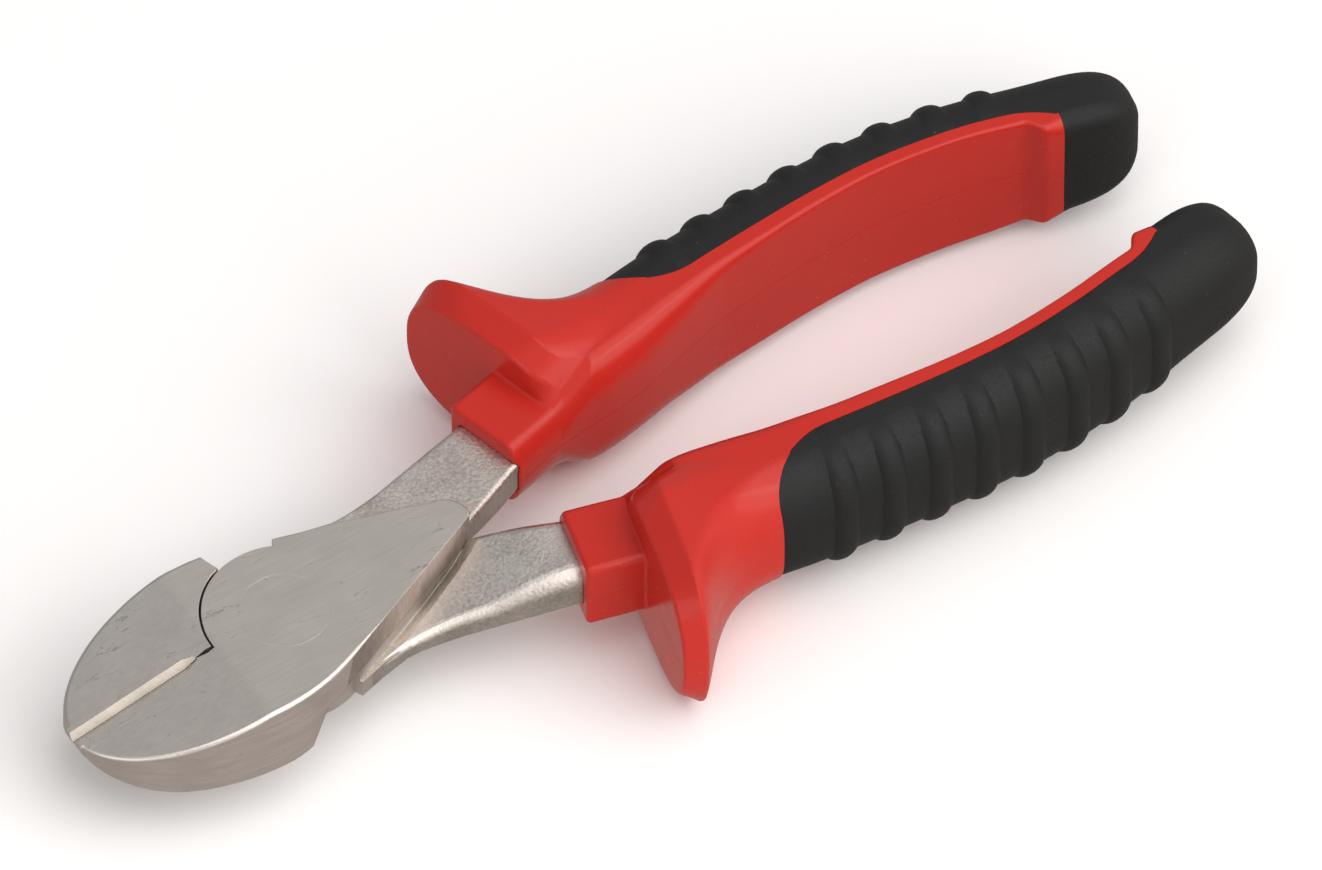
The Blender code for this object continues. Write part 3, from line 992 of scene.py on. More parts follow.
    def tang_ring(self, x: float, inner: float, outer: float, under: float, top: float) -> list[Vector]:
        """A rounded section of the tang.

        Args:
            x: Where the section is.
            inner: Its side towards the other handle.
            outer: Its other side.
            under: Its underside.
            top: Its top.

        Returns:
            The ring, from the underside of its inner side.
        """
        tall, wide = self.tang_round_room
        share = min(1.0, (top - under) / tall, (outer - inner) / wide)
        a, b, c, d = (radius * share for radius in self.tang_rounds)
        points = corner((inner + a, under + a), (a, a), (270.0, 180.0), self.tang_steps)
        points += corner((inner + b, top - b), (b, b), (180.0, 90.0), self.tang_steps)
        points += corner((outer - c, top - c), (c, c), (90.0, 0.0), self.tang_steps)
        points += corner((outer - d, under + d), (d, d), (0.0, -90.0), self.tang_steps)
        return [Vector((x, y, z)) for y, z in points]

    def foot_cut(self) -> BMesh:
        """Room along the foot of the other half's side: the tang is rounded down towards it."""
        (x0, y0), (x1, y1) = self.side_from, self.side_to
        out = Vector((y1 - y0, x1 - x0)).normalized()
        rings = []
        for x in steps_between(self.tang_from_x - self.overcut, self.side_x(0.0), self.foot_stations):
            foot = Vector((x, -self.side_y(x)))
            low = min(self.flat_underside + self.foot_gap, self.tang_under.at(x) + self.foot_depth.at(x))
            base = max(low, 2 * self.lap_gap)
            points = [(-3 * self.overcut, base), (self.foot_gap - self.foot_lead, base)]
            end = self.foot_gap + self.foot_width
            for share in steps_between(0.0, 1.0, self.bend_steps):
                away = self.foot_gap + self.foot_width * share
                face = self.tang_under.at((foot + out * away).x) - self.foot_gap
                points.append((away, low + (face - low) * (1 - (1 - share) ** self.foot_power)))
            points += [(end, -2 * self.overcut), (-3 * self.overcut, -2 * self.overcut)]
            rings.append([(*(foot + out * away), z) for away, z in points])
        return sweep(rings)

    def tang(self, grip: "GripShape", swell: float = 0.0, from_x: float = 0.0) -> BMesh:
        """The forged tang from the joint into the grip.

        Args:
            grip: The grip that it goes into.
            swell: How much larger than the steel, for the socket that holds it.
            from_x: Where it starts, at the earliest.

        Returns:
            The solid.
        """
        rings = []
        for x in steps_between(self.tang_from_x, self.tang_open_to_x, self.tang_stations):
            if x < from_x:
                continue
            inner = max(self.side_y(x), self.tang_inner_from) + self.tang_inset - swell
            outer = self.tang_outer.at(x) + swell
            under, top = self.tang_under.at(x) - swell, self.tang_top.at(x) + swell
            rings.append(self.tang_ring(x, inner, outer, under, top))
        thick = self.tang_held_thick + swell
        for x, half_width in self.tang_held.points:
            middle = grip.centre.at(x) - grip.seat_depth / 2
            reach = half_width + swell
            rings.append(self.tang_ring(x, middle - reach, middle + reach, -thick, thick))
        return sweep(rings)

    def radius_of(self, edge: BMEdge) -> float:
        """How far an edge of the plate is rounded.

        Args:
            edge: A sharp edge.

        Returns:
            The radius: large along the outside of the jaw's front, small round its rest, else none.
        """
        middle = (edge.verts[0].co + edge.verts[1].co) / 2
        level = [face.normal.z * self.layer.flip > self.level_normal for face in edge.link_faces]
        if level[0] == level[1] or middle.z * self.layer.flip < 0:
            return 0.0
        if middle.x < self.slope_start_x and middle.y > -2 * self.edge_bevel:
            return 0.0
        if middle.y > 0 and middle.xy.length > self.step_radius - self.pad_reach:
            return self.pad_round
        wall = edge.link_faces[level.index(False)].normal
        near_seam = middle.xy.length < self.seam_radius + self.seam_reach
        if near_seam or middle.y > 0 or wall.x > self.inward_normal:
            return self.edge_round
        bend_x, inset = self.side_x(-self.jaw_width) + self.side_bend, self.rim_fade_inset
        fade = smooth_step(middle.x, bend_x + inset, bend_x + self.side_ease - inset)
        return self.rim_round + (self.edge_round - self.rim_round) * fade

    def finish_of(self, face: BMFace) -> SteelFinish:
        """Which finish a face has.

        Args:
            face: A face of the finished half.

        Returns:
            The finish, from where the face is and which way it looks; the way a wall looks also sets its
            painted light and painted shade.
        """
        middle, normal = face.calc_center_median(), face.normal
        at_edge = middle.x < self.notch[1][0] and middle.y > -self.edge_reach
        if at_edge and normal.y > self.edge_normal and normal.z * self.layer.flip > self.edge_normal:
            return SteelFinish.CUTTING_EDGE
        on_plate = abs(middle.z) > self.half_thick - self.plate_skin or middle.x < self.tang_from_x
        # Tang side walls that face this way get the darker copy of the plating: painted shade
        if not on_plate and normal.y < self.milled_shade_side_normal:
            return SteelFinish.MILLED_WALL_PAINTED_SHADE
        past_side = middle.y > self.side_y(middle.x) + self.side_reach
        if not on_plate and (past_side or middle.x > self.side_to[0]):
            return SteelFinish.FORGED_SKIN
        if abs(normal.z) > self.face_normal:
            return SteelFinish.GROUND_FACE
        # Walls that face along X, and walls past the joint, get the same painted shade
        if normal.x > self.milled_shade_normal or middle.x > self.tang_from_x:
            return SteelFinish.MILLED_WALL_PAINTED_SHADE
        # The remaining walls take the paler copy of the plating: painted light on them
        return SteelFinish.GROUND_WALL_PAINTED_LIGHT

    def build(
        self, grip: "GripShape", rivet: "Rivet", finishes: Sequence[bpy.types.Material]
    ) -> bpy.types.Object:
        """Model and dress the half.

        Args:
            grip: The grip that its tang goes into.
            rivet: The rivet that it turns on.
            finishes: The finishes of the steel, in their order.

        Returns:
            The piece.
        """
        reach = self.half_thick + self.overcut
        draft = self.jaw_draft * reach / self.half_thick
        rings = []
        for side in (-1, 1):
            outline = self.outline(-self.layer.flip * side * draft)
            rings.append([(x, y, side * reach) for x, y in outline])
        plate = combined(
            sweep(rings),
            ("INTERSECT", self.side_profile()),
            ("DIFFERENCE", self.edge_cut()),
            ("DIFFERENCE", self.lap_cut()),
            ("DIFFERENCE", self.underside_cut()),
        )
        bmesh.ops.remove_doubles(plate, verts=plate.verts, dist=WELD)
        plate = rounded(plate, self.radius_of, self.round_segments)
        tang = combined(self.tang(grip), ("DIFFERENCE", self.foot_cut()))
        solid = combined(plate, ("UNION", tang), ("DIFFERENCE", rivet.bore(self.bore_gap)))
        for face in solid.faces:
            face.material_index = self.finish_of(face).index
        for edge in sharp_edges(solid, FACET_ANGLE):
            edge.smooth = any(abs(face.normal.z) < self.level_normal for face in edge.link_faces)
        side = self.layer.value
        return add_piece(
            f"{side}_plated_half",
            solid,
            self.layer.placing(),
            finishes,
            f"{side}_half",
            side,
        )


@dataclass
class Rivet:
    """The rivet that the halves turn on, ground flush with both faces after it was headed.

    Attributes:
        half_thick: Half the thickness of the joint, in millimetres.
    """

    half_thick: float
    head_radius: float = 6.3
    shank_radius: float = 4.5
    head_depth: float = 1.8
    rim: float = 0.015
    sides: int = 96
    overcut: float = 5.0

    def profile(self, swell: float, reach: float) -> Points:
        """Radius and height of the rivet, or of the hole for it.

        Args:
            swell: How much larger than the rivet.
            reach: How far it goes on past the faces.

        Returns:
            Points from the middle of the front to the middle of the back.
        """
        head, top = self.head_radius + swell, self.half_thick
        if reach:
            upper = [(0.0, top + reach), (head, top + reach), (head, top)]
        else:
            upper = [(0.0, top), (head - self.rim, top), (head, top - self.rim)]
        upper.append((self.shank_radius + swell, top - self.head_depth))
        return upper + mirrored(upper)

    def bore(self, gap: float) -> BMesh:
        """The hole for the rivet, with a gap round it."""
        return turned(self.profile(gap, self.overcut), self.sides)

    def build(self, finish: bpy.types.Material) -> bpy.types.Object:
        """Model and dress the rivet.

        Args:
            finish: Its plating.

        Returns:
            The piece.
        """
        solid = turned(self.profile(0.0, 0.0), self.sides)
        body = Layer.FRONT
        return add_piece(
            "flush_rivet", solid, body.placing(), [finish], "pivot_rivet", body.value
        )


@dataclass(frozen=True)
class GuardEdge:
    """One edge of the finger guard's rim.

    Attributes:
        height: Its highest point.
        rise: How far across it climbs to there from the collar.
        outer: How far out it reaches.
        outer_corner: Half sizes of the curve at its outer end.
        back: How far it is swept back where it meets the inner side.
        power: How boxy its outer end is, 2 for an ellipse.
    """

    height: float
    rise: float
    outer: float
    outer_corner: Point
    back: float
    power: float = 2.4


@dataclass
class GripShape:
    """The outside of a grip: sections along a bent centre line, from collar and guard to body and end.

    A section is half a ring of (across, up) points, from the middle of its inner side over the top to
    the middle of its outer side. All have one count, so that one eases into another point by point.
    """

    centre: Curve = Curve(
        (
            (36.0, 10.5),
            (47.7, 13.5),
            (66.0, 18.25),
            (82.0, 20.35),
            (104.0, 21.65),
            (118.0, 20.5),
            (131.0, 17.95),
            (150.0, 14.2),
        )
    )
    body_half_width: Curve = Curve(
        ((51.0, 6.6), (66.0, 6.5), (82.0, 5.9), (111.0, 5.2), (125.0, 5.1), (150.0, 5.4))
    )
    body_height: Curve = Curve(
        ((51.0, 11.0), (66.0, 11.0), (80.0, 11.4), (122.0, 11.4), (135.0, 10.3), (150.0, 9.2))
    )
    body_outer_corner: float = 7.2
    body_outer_round: Curve = Curve(((51.0, 9.5), (66.0, 9.5), (84.0, 8.8), (150.0, 7.6)))
    inner_side: Curve = Curve(
        (
            (39.4, 6.8),
            (47.7, 6.6),
            (52.0, 7.1),
            (57.0, 8.1),
            (64.0, 8.4),
            (72.0, 7.5),
            (82.0, 6.1),
            (111.0, 5.2),
            (150.0, 5.3),
        )
    )
    inner_drop: Curve = Curve(
        ((48.0, 5.0), (49.5, 4.2), (51.0, 2.4), (52.5, 1.0), (54.5, 0.2), (57.5, 0.0))
    )
    inner_fold_wide: Curve = Curve(
        (
            (39.4, 2.4),
            (47.7, 2.2),
            (56.0, 3.4),
            (66.0, 3.2),
            (74.0, 2.1),
            (82.0, 1.1),
            (92.0, 0.7),
            (131.0, 0.7),
            (136.0, 2.4),
        )
    )
    inner_fold_deep: Curve = Curve(
        (
            (39.4, 5.5),
            (47.7, 5.4),
            (56.0, 6.2),
            (66.0, 5.6),
            (74.0, 3.6),
            (82.0, 1.7),
            (92.0, 0.9),
            (131.0, 0.9),
            (136.0, 3.0),
        )
    )
    inner_power: Curve = Curve(((47.7, 1.75), (58.0, 2.0)))

    collar_from_x: float = 39.4
    collar_outer: float = 6.3
    collar_height: float = 6.0
    collar_outer_corner: float = 1.1

    guard_from_x: float = 47.7
    guard_to_x: float = 51.2
    guard_face: GuardEdge = GuardEdge(
        height=11.2, rise=9.0, outer=22.5, outer_corner=(13.5, 10.8), back=2.6
    )
    guard_ridge: GuardEdge = GuardEdge(
        height=13.5, rise=6.6, outer=22.8, outer_corner=(9.6, 13.0), back=3.8
    )
    neck_fall: Point = (5.6, 1.35)
    neck_to_x: float = 66.3

    seat_depth: float = 2.4
    seat_from_x: float = 66.3
    seat_turn_x: float = 70.2
    seat_curve_to_x: float = 76.6
    seat_turn_angle: float = 36.0
    seat_turn_power: float = 2.2
    seat_edge_start: float = -0.9
    seat_edge: float = -3.1
    seat_shoulder: float = 0.3
    seat_run_to_x: float = 128.0
    stop_from_x: float = 130.0
    stop_x: float = 132.8
    stop_to_x: float = 135.1
    stop_height: float = 2.0
    stop_edge_drop: float = 2.0

    parting: Point = (0.12, 0.05)
    inner_steps: int = 8
    shoulder_steps: int = 8
    outer_steps: int = 18
    front_stations: int = 12
    run_stations: int = 34
    stop_stations: int = 16
    rib_fade: Point = (86.0, 50.0)

    def line_at(self, x: float) -> tuple[Vector, Vector]:
        """The centre line at x.

        Args:
            x: Where to read it.

        Returns:
            The point on it, and the direction across it.
        """
        rise = self.centre.at(x + SLOPE_STEP) - self.centre.at(x - SLOPE_STEP)
        return Vector((x, self.centre.at(x))), Vector((-rise, 2 * SLOPE_STEP)).normalized()

    def placed(
        self, x: float, points: Iterable[Point], shifts: Iterable[float] | None = None
    ) -> list[Vector]:
        """Set the points of a section on the centre line, square to it.

        Args:
            x: Where the section is.
            points: Its (across, up) points.
            shifts: How far each point is moved on along the line.

        Returns:
            The points in space.
        """
        points = list(points)
        spots = []
        for (t, z), shift in zip(points, shifts or [0.0] * len(points)):
            here, across = self.line_at(x + shift)
            spots.append(Vector((*(here + across * t), z)))
        return spots

    def seat_edge_at(self, x: float) -> float:
        """The overmould's edge along the top: a curve in, a long run, and a drop at the stop."""
        if x <= self.seat_curve_to_x:
            whole = self.seat_curve_to_x - self.seat_turn_x
            reach = (self.seat_curve_to_x - max(x, self.seat_turn_x)) / whole
            return self.seat_edge + (self.seat_edge_start - self.seat_edge) * reach**2
        drop = max(0.0, (x - self.seat_run_to_x) / (self.stop_to_x - self.seat_run_to_x))
        return self.seat_edge - self.stop_edge_drop * drop**2

    def seat_shift(self, x: float, degrees: float) -> float:
        """How far the seat's front is swept back at an angle of the outer corner, less along the grip."""
        turn = max(0.0, (degrees - self.seat_turn_angle) / (90.0 - self.seat_turn_angle))
        left = (self.seat_curve_to_x - x) / (self.seat_curve_to_x - self.seat_from_x)
        most = self.seat_turn_x - self.seat_from_x
        return most * turn**self.seat_turn_power * min(1.0, max(0.0, left))

    def half_shifts(self, x: float) -> list[float]:
        """The sweep of the seat's front for each point of a half section."""
        most = self.seat_shift(x, 90.0)
        inner = self.inner_steps + 2
        last = self.shoulder_steps + 1
        shoulder = [most * smooth_step(i, 0, last) for i in range(1, last)]
        return [0.0] * inner + shoulder + [most] * 2 + self.outer_shifts(x) + [0.0]

    def outer_shifts(self, x: float) -> list[float]:
        """The sweep of the seat's front for each point of the outer corner."""
        return [self.seat_shift(x, degrees) for degrees in steps_between(90.0, 0.0, self.outer_steps + 1)]

    def half(self, inner: Points, shoulder: Points, edge: Points, outer: Points) -> Points:
        """Half a section from its stretches, with a point beside the parting line at each end."""
        step = self.parting[0]
        return [(inner[0][0], step), *inner, *shoulder, *edge, *outer, (outer[-1][0], step)]

    def inner_arc(self, x: float) -> Points:
        """The corner along the inner side: creased on the collar, round on the body, raised at the stop."""
        side = -self.inner_side.at(x) - self.stop_height * smooth_step(x, self.stop_from_x, self.stop_x)
        top = self.body_height.at(x) - self.inner_drop.at(x)
        fold = (self.inner_fold_wide.at(x), self.inner_fold_deep.at(x))
        middle = (side + fold[0], top - fold[1])
        return corner(middle, fold, (180.0, 90.0), self.inner_steps, self.inner_power.at(x))

    def shoulder(self, start: Point, end: Point) -> Points:
        """Points on the way from the inner corner to the seat's edge."""
        steps = steps_between(0.0, 1.0, self.shoulder_steps + 2)[1:-1]
        return [tuple(Vector(start).lerp(Vector(end), step)) for step in steps]

    def collar_half(self, x: float) -> Points:
        """The boxy collar in front of the guard."""
        inner = self.inner_arc(x)
        top, bend = self.collar_height, self.collar_outer_corner
        edge = (self.seat_edge_start, top)
        middle = (self.collar_outer - bend, top - bend)
        outer = corner(middle, (bend, bend), (90.0, 0.0), self.outer_steps)
        return self.half(inner, self.shoulder(inner[-1], edge), [edge] * 2, outer)

    def guard_half(self, x: float, guard: GuardEdge) -> Points:
        """An edge of the finger guard, which rises from the inner corner at x and spreads far out."""
        inner = self.inner_arc(x)
        (across, up), top, rise = inner[-1], guard.height, guard.rise
        climb = corner((across + rise, up), (rise, top - up), (180.0, 90.0), self.shoulder_steps + 1)
        wide, deep = guard.outer_corner
        middle = (guard.outer - wide, top - deep)
        outer = corner(middle, guard.outer_corner, (90.0, 0.0), self.outer_steps, guard.power)
        return self.half(inner, climb[1:-1], [climb[-1]] * 2, outer)

    def body_half(self, x: float, depth: float = 0.0) -> Points:
        """The body of the grip behind the guard.

        Args:
            x: Where the section is.
            depth: Depth of the overmould's seat.

        Returns:
            The half section.
        """
        inner = self.inner_arc(x)
        top = self.body_height.at(x)
        across = max(self.seat_edge_at(x), inner[-1][0] + self.seat_shoulder)
        shoulder = self.shoulder(inner[-1], (across, top))
        edge = [(across, top), (across, top - depth)]
        return self.half(inner, shoulder, edge, self.outer_arc(x, depth))

    def outer_arc(self, x: float, depth: float = 0.0, rib: float = 0.0) -> Points:
        """The round outer corner of the body.

        Args:
            x: Where the section is.
            depth: How far it is sunk.
            rib: Height of a rib on it, which fades towards the top.

        Returns:
            The points from the top to the middle of the outer side.
        """
        wide, deep = self.body_outer_corner, self.body_outer_round.at(x)
        middle = (self.body_half_width.at(x) - wide, self.body_height.at(x) - deep)
        points = []
        for degrees in steps_between(90.0, 0.0, self.outer_steps + 1):
            swell = rib * smooth_step(degrees, *self.rib_fade) - depth
            c, s = polar(1.0, degrees)
            points.append((middle[0] + (wide + swell) * c, middle[1] + (deep + swell) * s))
        return points

    def guard_share(self, i: int) -> float:
        """How far a point belongs to the guard: none on the inner side, all past the shoulder."""
        return smooth_step(i, self.inner_steps + 1, self.inner_steps + self.shoulder_steps + 2)

    def neck_half(self, x: float, station: float) -> Points:
        """The trumpet of the guard, falling away to the body.

        Args:
            x: Where the section is.
            station: How far along the neck it counts as.

        Returns:
            The half section.
        """
        length, power = self.neck_fall
        share = math.exp(-(((station - self.guard_to_x) / length) ** power))
        points = []
        for i, (guard, body) in enumerate(zip(self.guard_half(x, self.guard_ridge), self.body_half(x))):
            points.append(tuple(Vector(body).lerp(Vector(guard), share * self.guard_share(i))))
        return points

    def swept_ring(
        self,
        x: float,
        half_at: Callable[[float], Points],
        back: float,
        groove: float = 0.0,
        extra: list[float] | None = None,
    ) -> list[Vector]:
        """A ring that is swept back on the inner side.

        Args:
            x: Where the ring is.
            half_at: The half section at any place.
            back: How far the top of the inner side is moved back.
            groove: How far the parting line is cut into a face that looks along the grip.
            extra: How far each point of the half is moved back besides.

        Returns:
            The ring of points in space, each from the section at the place where it ends up.
        """
        shifts = []
        for i in range(len(half_at(x))):
            rising = smooth_step(i, 0, self.inner_steps + 1)
            shifts.append(back * rising * (1 - self.guard_share(i)) ** 2 + (extra[i] if extra else 0.0))
        half = [half_at(x + shift)[i] for i, shift in enumerate(shifts)]
        return self.ring(x, half, shifts, groove)

    def neck_ring(self, x: float) -> list[Vector]:
        """A ring of the neck, which starts along the swept ridge and ends square."""
        past = smooth_step(x, self.guard_to_x, self.neck_to_x)
        back = self.guard_ridge.back * (1 - past)
        seat = [past * shift for shift in self.half_shifts(self.seat_from_x)]
        return self.swept_ring(
            x, lambda place: self.neck_half(place, max(x, place - back)), back, extra=seat
        )

    def body_stations(self) -> list[float]:
        """Where the body has sections: close together round the front of the seat and at the stop."""
        places = steps_between(self.seat_from_x, self.seat_curve_to_x, self.front_stations)
        places += steps_between(self.seat_curve_to_x, self.seat_run_to_x, self.run_stations)[1:]
        return places + steps_between(self.seat_run_to_x, self.stop_to_x, self.stop_stations)[1:]

    def seated_ring(self, x: float) -> list[Vector]:
        """A ring of the body with the overmould's seat cut into it."""
        shifts = self.half_shifts(x)
        half = [self.body_half(x + shift, self.seat_depth)[i] for i, shift in enumerate(shifts)]
        return self.ring(x, half, shifts)

    def ring(
        self, x: float, half: Points, shifts: list[float] | None = None, face_groove: float = 0.0
    ) -> list[Vector]:
        """A whole section from its upper half, with a fine groove along the parting line.

        Args:
            x: Where the section is.
            half: Its upper half.
            shifts: How far each point of the half is moved on along the grip.
            face_groove: How far the groove is cut into a face that looks along the grip.

        Returns:
            The ring of points in space.
        """
        shifts = shifts or [0.0] * len(half)
        groove = self.parting[1]
        inner_mid = (half[0][0] + groove, 0.0)
        outer_mid = (half[-1][0] - groove, 0.0)
        points = [inner_mid, *half, outer_mid, *mirrored(half)]
        moved = [shifts[0], *shifts, shifts[-1] + face_groove, *reversed(shifts)]
        return self.placed(x, points, moved)


@dataclass
class GripCore:
    """The hard red moulding: collar, finger guard, neck, inner strip and stop.

    Attributes:
        layer: The half that it is moulded on.
        shape: The outside of the grip.
    """

    layer: Layer
    shape: GripShape
    socket_gap: float = 0.12
    socket_from_x: float = 36.0
    lip_round: float = 0.7
    guard_round: float = 0.5
    ridge_round: float = 0.3
    root_round: float = 0.5
    round_segments: int = 3
    round_angle: float = 25.0
    neck_stations: int = 22
    neck_crowding: float = 1.5

    def rings(self) -> list[list[Vector]]:
        """The sections from the collar's mouth to the stop; the first five are collar, guard and ridge."""
        shape = self.shape
        groove = shape.parting[1]
        start, face, ridge = shape.collar_from_x, shape.guard_from_x, shape.guard_to_x
        rings = [
            shape.ring(start, shape.collar_half(start)),
            shape.ring((start + face) / 2, shape.collar_half((start + face) / 2)),
            shape.ring(face, shape.collar_half(face), face_groove=groove),
        ]
        edge = shape.guard_face
        rings.append(
            shape.swept_ring(face, lambda place: shape.guard_half(place, edge), edge.back, groove)
        )
        for share in steps_between(0.0, 1.0, self.neck_stations):
            rings.append(shape.neck_ring(ridge + (shape.seat_from_x - ridge) * share**self.neck_crowding))
        for x in shape.body_stations():
            rings.append(shape.seated_ring(x))
        return rings

    def ring_edges(self, bm: BMesh, number: int) -> list[BMEdge]:
        """The sharp edges along one ring."""
        layer = bm.verts.layers.int["ring"]
        edges = sharp_edges(bm, self.round_angle)
        return [edge for edge in edges if all(vert[layer] == number for vert in edge.verts)]

    def build(self, half: ForgedHalf, finish: bpy.types.Material) -> bpy.types.Object:
        """Model and dress the moulding.

        Args:
            half: The forged half whose tang it holds.
            finish: Its plastic.

        Returns:
            The piece.
        """
        solid = sweep(self.rings())
        rounds = (self.lip_round, 0.0, self.root_round, self.guard_round, self.ridge_round)
        for number, radius in enumerate(rounds):
            if radius:
                round_edges(solid, self.ring_edges(solid, number), radius, self.round_segments)
        bmesh.ops.recalc_face_normals(solid, faces=solid.faces)
        socket = half.tang(self.shape, self.socket_gap, self.socket_from_x)
        solid = combined(solid, ("DIFFERENCE", socket))
        side = self.layer.value
        return add_piece(
            f"{side}_red_core",
            solid,
            self.layer.placing(),
            [finish],
            f"{side}_grip_core",
            side,
        )


@dataclass
class GripOvermould:
    """The soft black skin on the outer side and the end of a grip, with ribs for the palm.

    Attributes:
        layer: The half that it is moulded on.
        shape: The outside of the grip.
    """

    layer: Layer
    shape: GripShape
    gap: float = 0.05
    edge_round: float = 0.14
    edge_steps: int = 2
    rib_count: int = 8
    rib_first_x: float = 73.7
    rib_pitch: float = 7.25
    rib_width: float = 3.8
    rib_height: float = 0.8
    rib_power: float = 2.5
    rib_stations: int = 14
    tail_stations: int = 8
    least_spacing: float = 0.05
    end_round_from_x: float = 136.0
    end_x: float = 147.6
    end_round: float = 3.0
    end_stations: int = 18
    end_across: int = 9

    def rib_at(self, x: float) -> float:
        """Height of the ribs at x: each is a round bead with a crease on either side."""
        for i in range(self.rib_count):
            share = (x - self.rib_first_x - self.rib_pitch * i) / self.rib_width
            if 0 <= share <= 1:
                return self.rib_height * (1 - abs(2 * share - 1) ** self.rib_power)
        return 0.0

    def stations(self) -> list[float]:
        """Where the sections are, close together over the ribs."""
        shape = self.shape
        places = [x for x in shape.body_stations() if x <= shape.seat_curve_to_x]
        places[0] += self.gap
        for i in range(self.rib_count):
            front = self.rib_first_x + self.rib_pitch * i
            for share in steps_between(0.0, 1.0, self.rib_stations):
                places.append(front + self.rib_width * share)
        rest = self.rib_first_x + self.rib_pitch * self.rib_count - self.rib_width / 2
        places += steps_between(rest, shape.stop_to_x, self.tail_stations)
        places.sort()
        kept = [places[0]]
        for x in places[1:]:
            if x - kept[-1] > self.least_spacing:
                kept.append(x)
        return kept

    def shell(self, x: float) -> tuple[Points, Points]:
        """The skin over the core at x.

        Args:
            x: Where the section is.

        Returns:
            The outside from edge to edge, and the inside back again.
        """
        shape = self.shape
        top, edge, bend = shape.body_height.at(x), shape.seat_edge_at(x) + self.gap, self.edge_round
        upper = corner((edge + bend, top - bend), (bend, bend), (180.0, 90.0), self.edge_steps)
        upper += shape.outer_arc(x, rib=self.rib_at(x))[1:]
        depth = shape.seat_depth - self.gap
        lower = [(edge, top - depth), *shape.outer_arc(x, depth)]
        inside = [(t, -z) for t, z in lower] + list(reversed(lower))
        return upper + mirrored(upper), inside

    def shifts(self, x: float) -> list[float]:
        """The sweep of the skin's front for each point of a section, as the seat has it."""
        outer = self.shape.outer_shifts(x)
        upper = [outer[0]] * (self.edge_steps + 1) + outer[1:]
        lower = [outer[0]] + outer
        return upper + upper[::-1] + lower + lower[::-1]

    def end_section(self, x: float, share: float, count: int) -> list[Vector]:
        """A section of the closed end, drawn in by a share of its size.

        Args:
            x: Where the section is.
            share: Its size, 1 where it is full.
            count: Number of points on its inner side.

        Returns:
            The ring of points in space.
        """
        shape = self.shape
        half = shape.body_half(x)
        inner = half[: shape.inner_steps + 2]
        top, bend = shape.body_height.at(x), self.edge_round
        edge = inner[-1][0] + 2 * bend
        upper = [(edge, top)] * (self.edge_steps + 1) + shape.outer_arc(x)[1:]
        outside = upper + mirrored(upper)
        held = (count - 2 * self.end_across) // 2
        inside = [(edge, -top)] * held + resampled([*mirrored(inner), *inner], 2 * self.end_across)
        inside += [(edge, top)] * held
        middle = (inner[0][0] + shape.body_half_width.at(x)) / 2
        points = [(middle + (t - middle) * share, z * share) for t, z in outside + inside]
        return shape.placed(x, points)

    def rings(self) -> list[list[Vector]]:
        """The sections from the front of the skin to the tip of the end."""
        shape = self.shape
        rings = []
        for x in self.stations():
            shifts = self.shifts(x)
            points = [sum(self.shell(x + shift), [])[i] for i, shift in enumerate(shifts)]
            rings.append(shape.placed(x, points, shifts))
        start = shape.stop_to_x + self.gap
        count = len(self.shell(start)[1])
        rings.append(shape.placed(start, sum(self.shell(start), [])))
        rings.append(self.end_section(start, 1.0, count))
        length, power = self.end_x - self.end_round_from_x, 2 / self.end_round
        for degrees in steps_between(0.0, NEAR_QUARTER, self.end_stations):
            c, s = polar(1.0, degrees)
            rings.append(self.end_section(self.end_round_from_x + length * s**power, c**power, count))
        return rings

    def build(self, finish: bpy.types.Material) -> bpy.types.Object:
        """Model and dress the skin.

        Args:
            finish: Its rubber.

        Returns:
            The piece.
        """
        solid = sweep(self.rings())
        side = self.layer.value
        return add_piece(
            f"{side}_black_overmould",
            solid,
            self.layer.placing(),
            [finish],
            f"{side}_grip_overmould",
            side,
        )


@dataclass(frozen=True)
class Softbox:
    """A soft rectangular light that faces the tool.

    Attributes:
        name: Name of the light.
        place: Where it hangs, from what the camera looks at.
        size: Its two sides.
        radiance: How bright its face is, where a white floor is 1.
    """

    name: str
    place: tuple[float, float, float]
    size: Point
    radiance: float


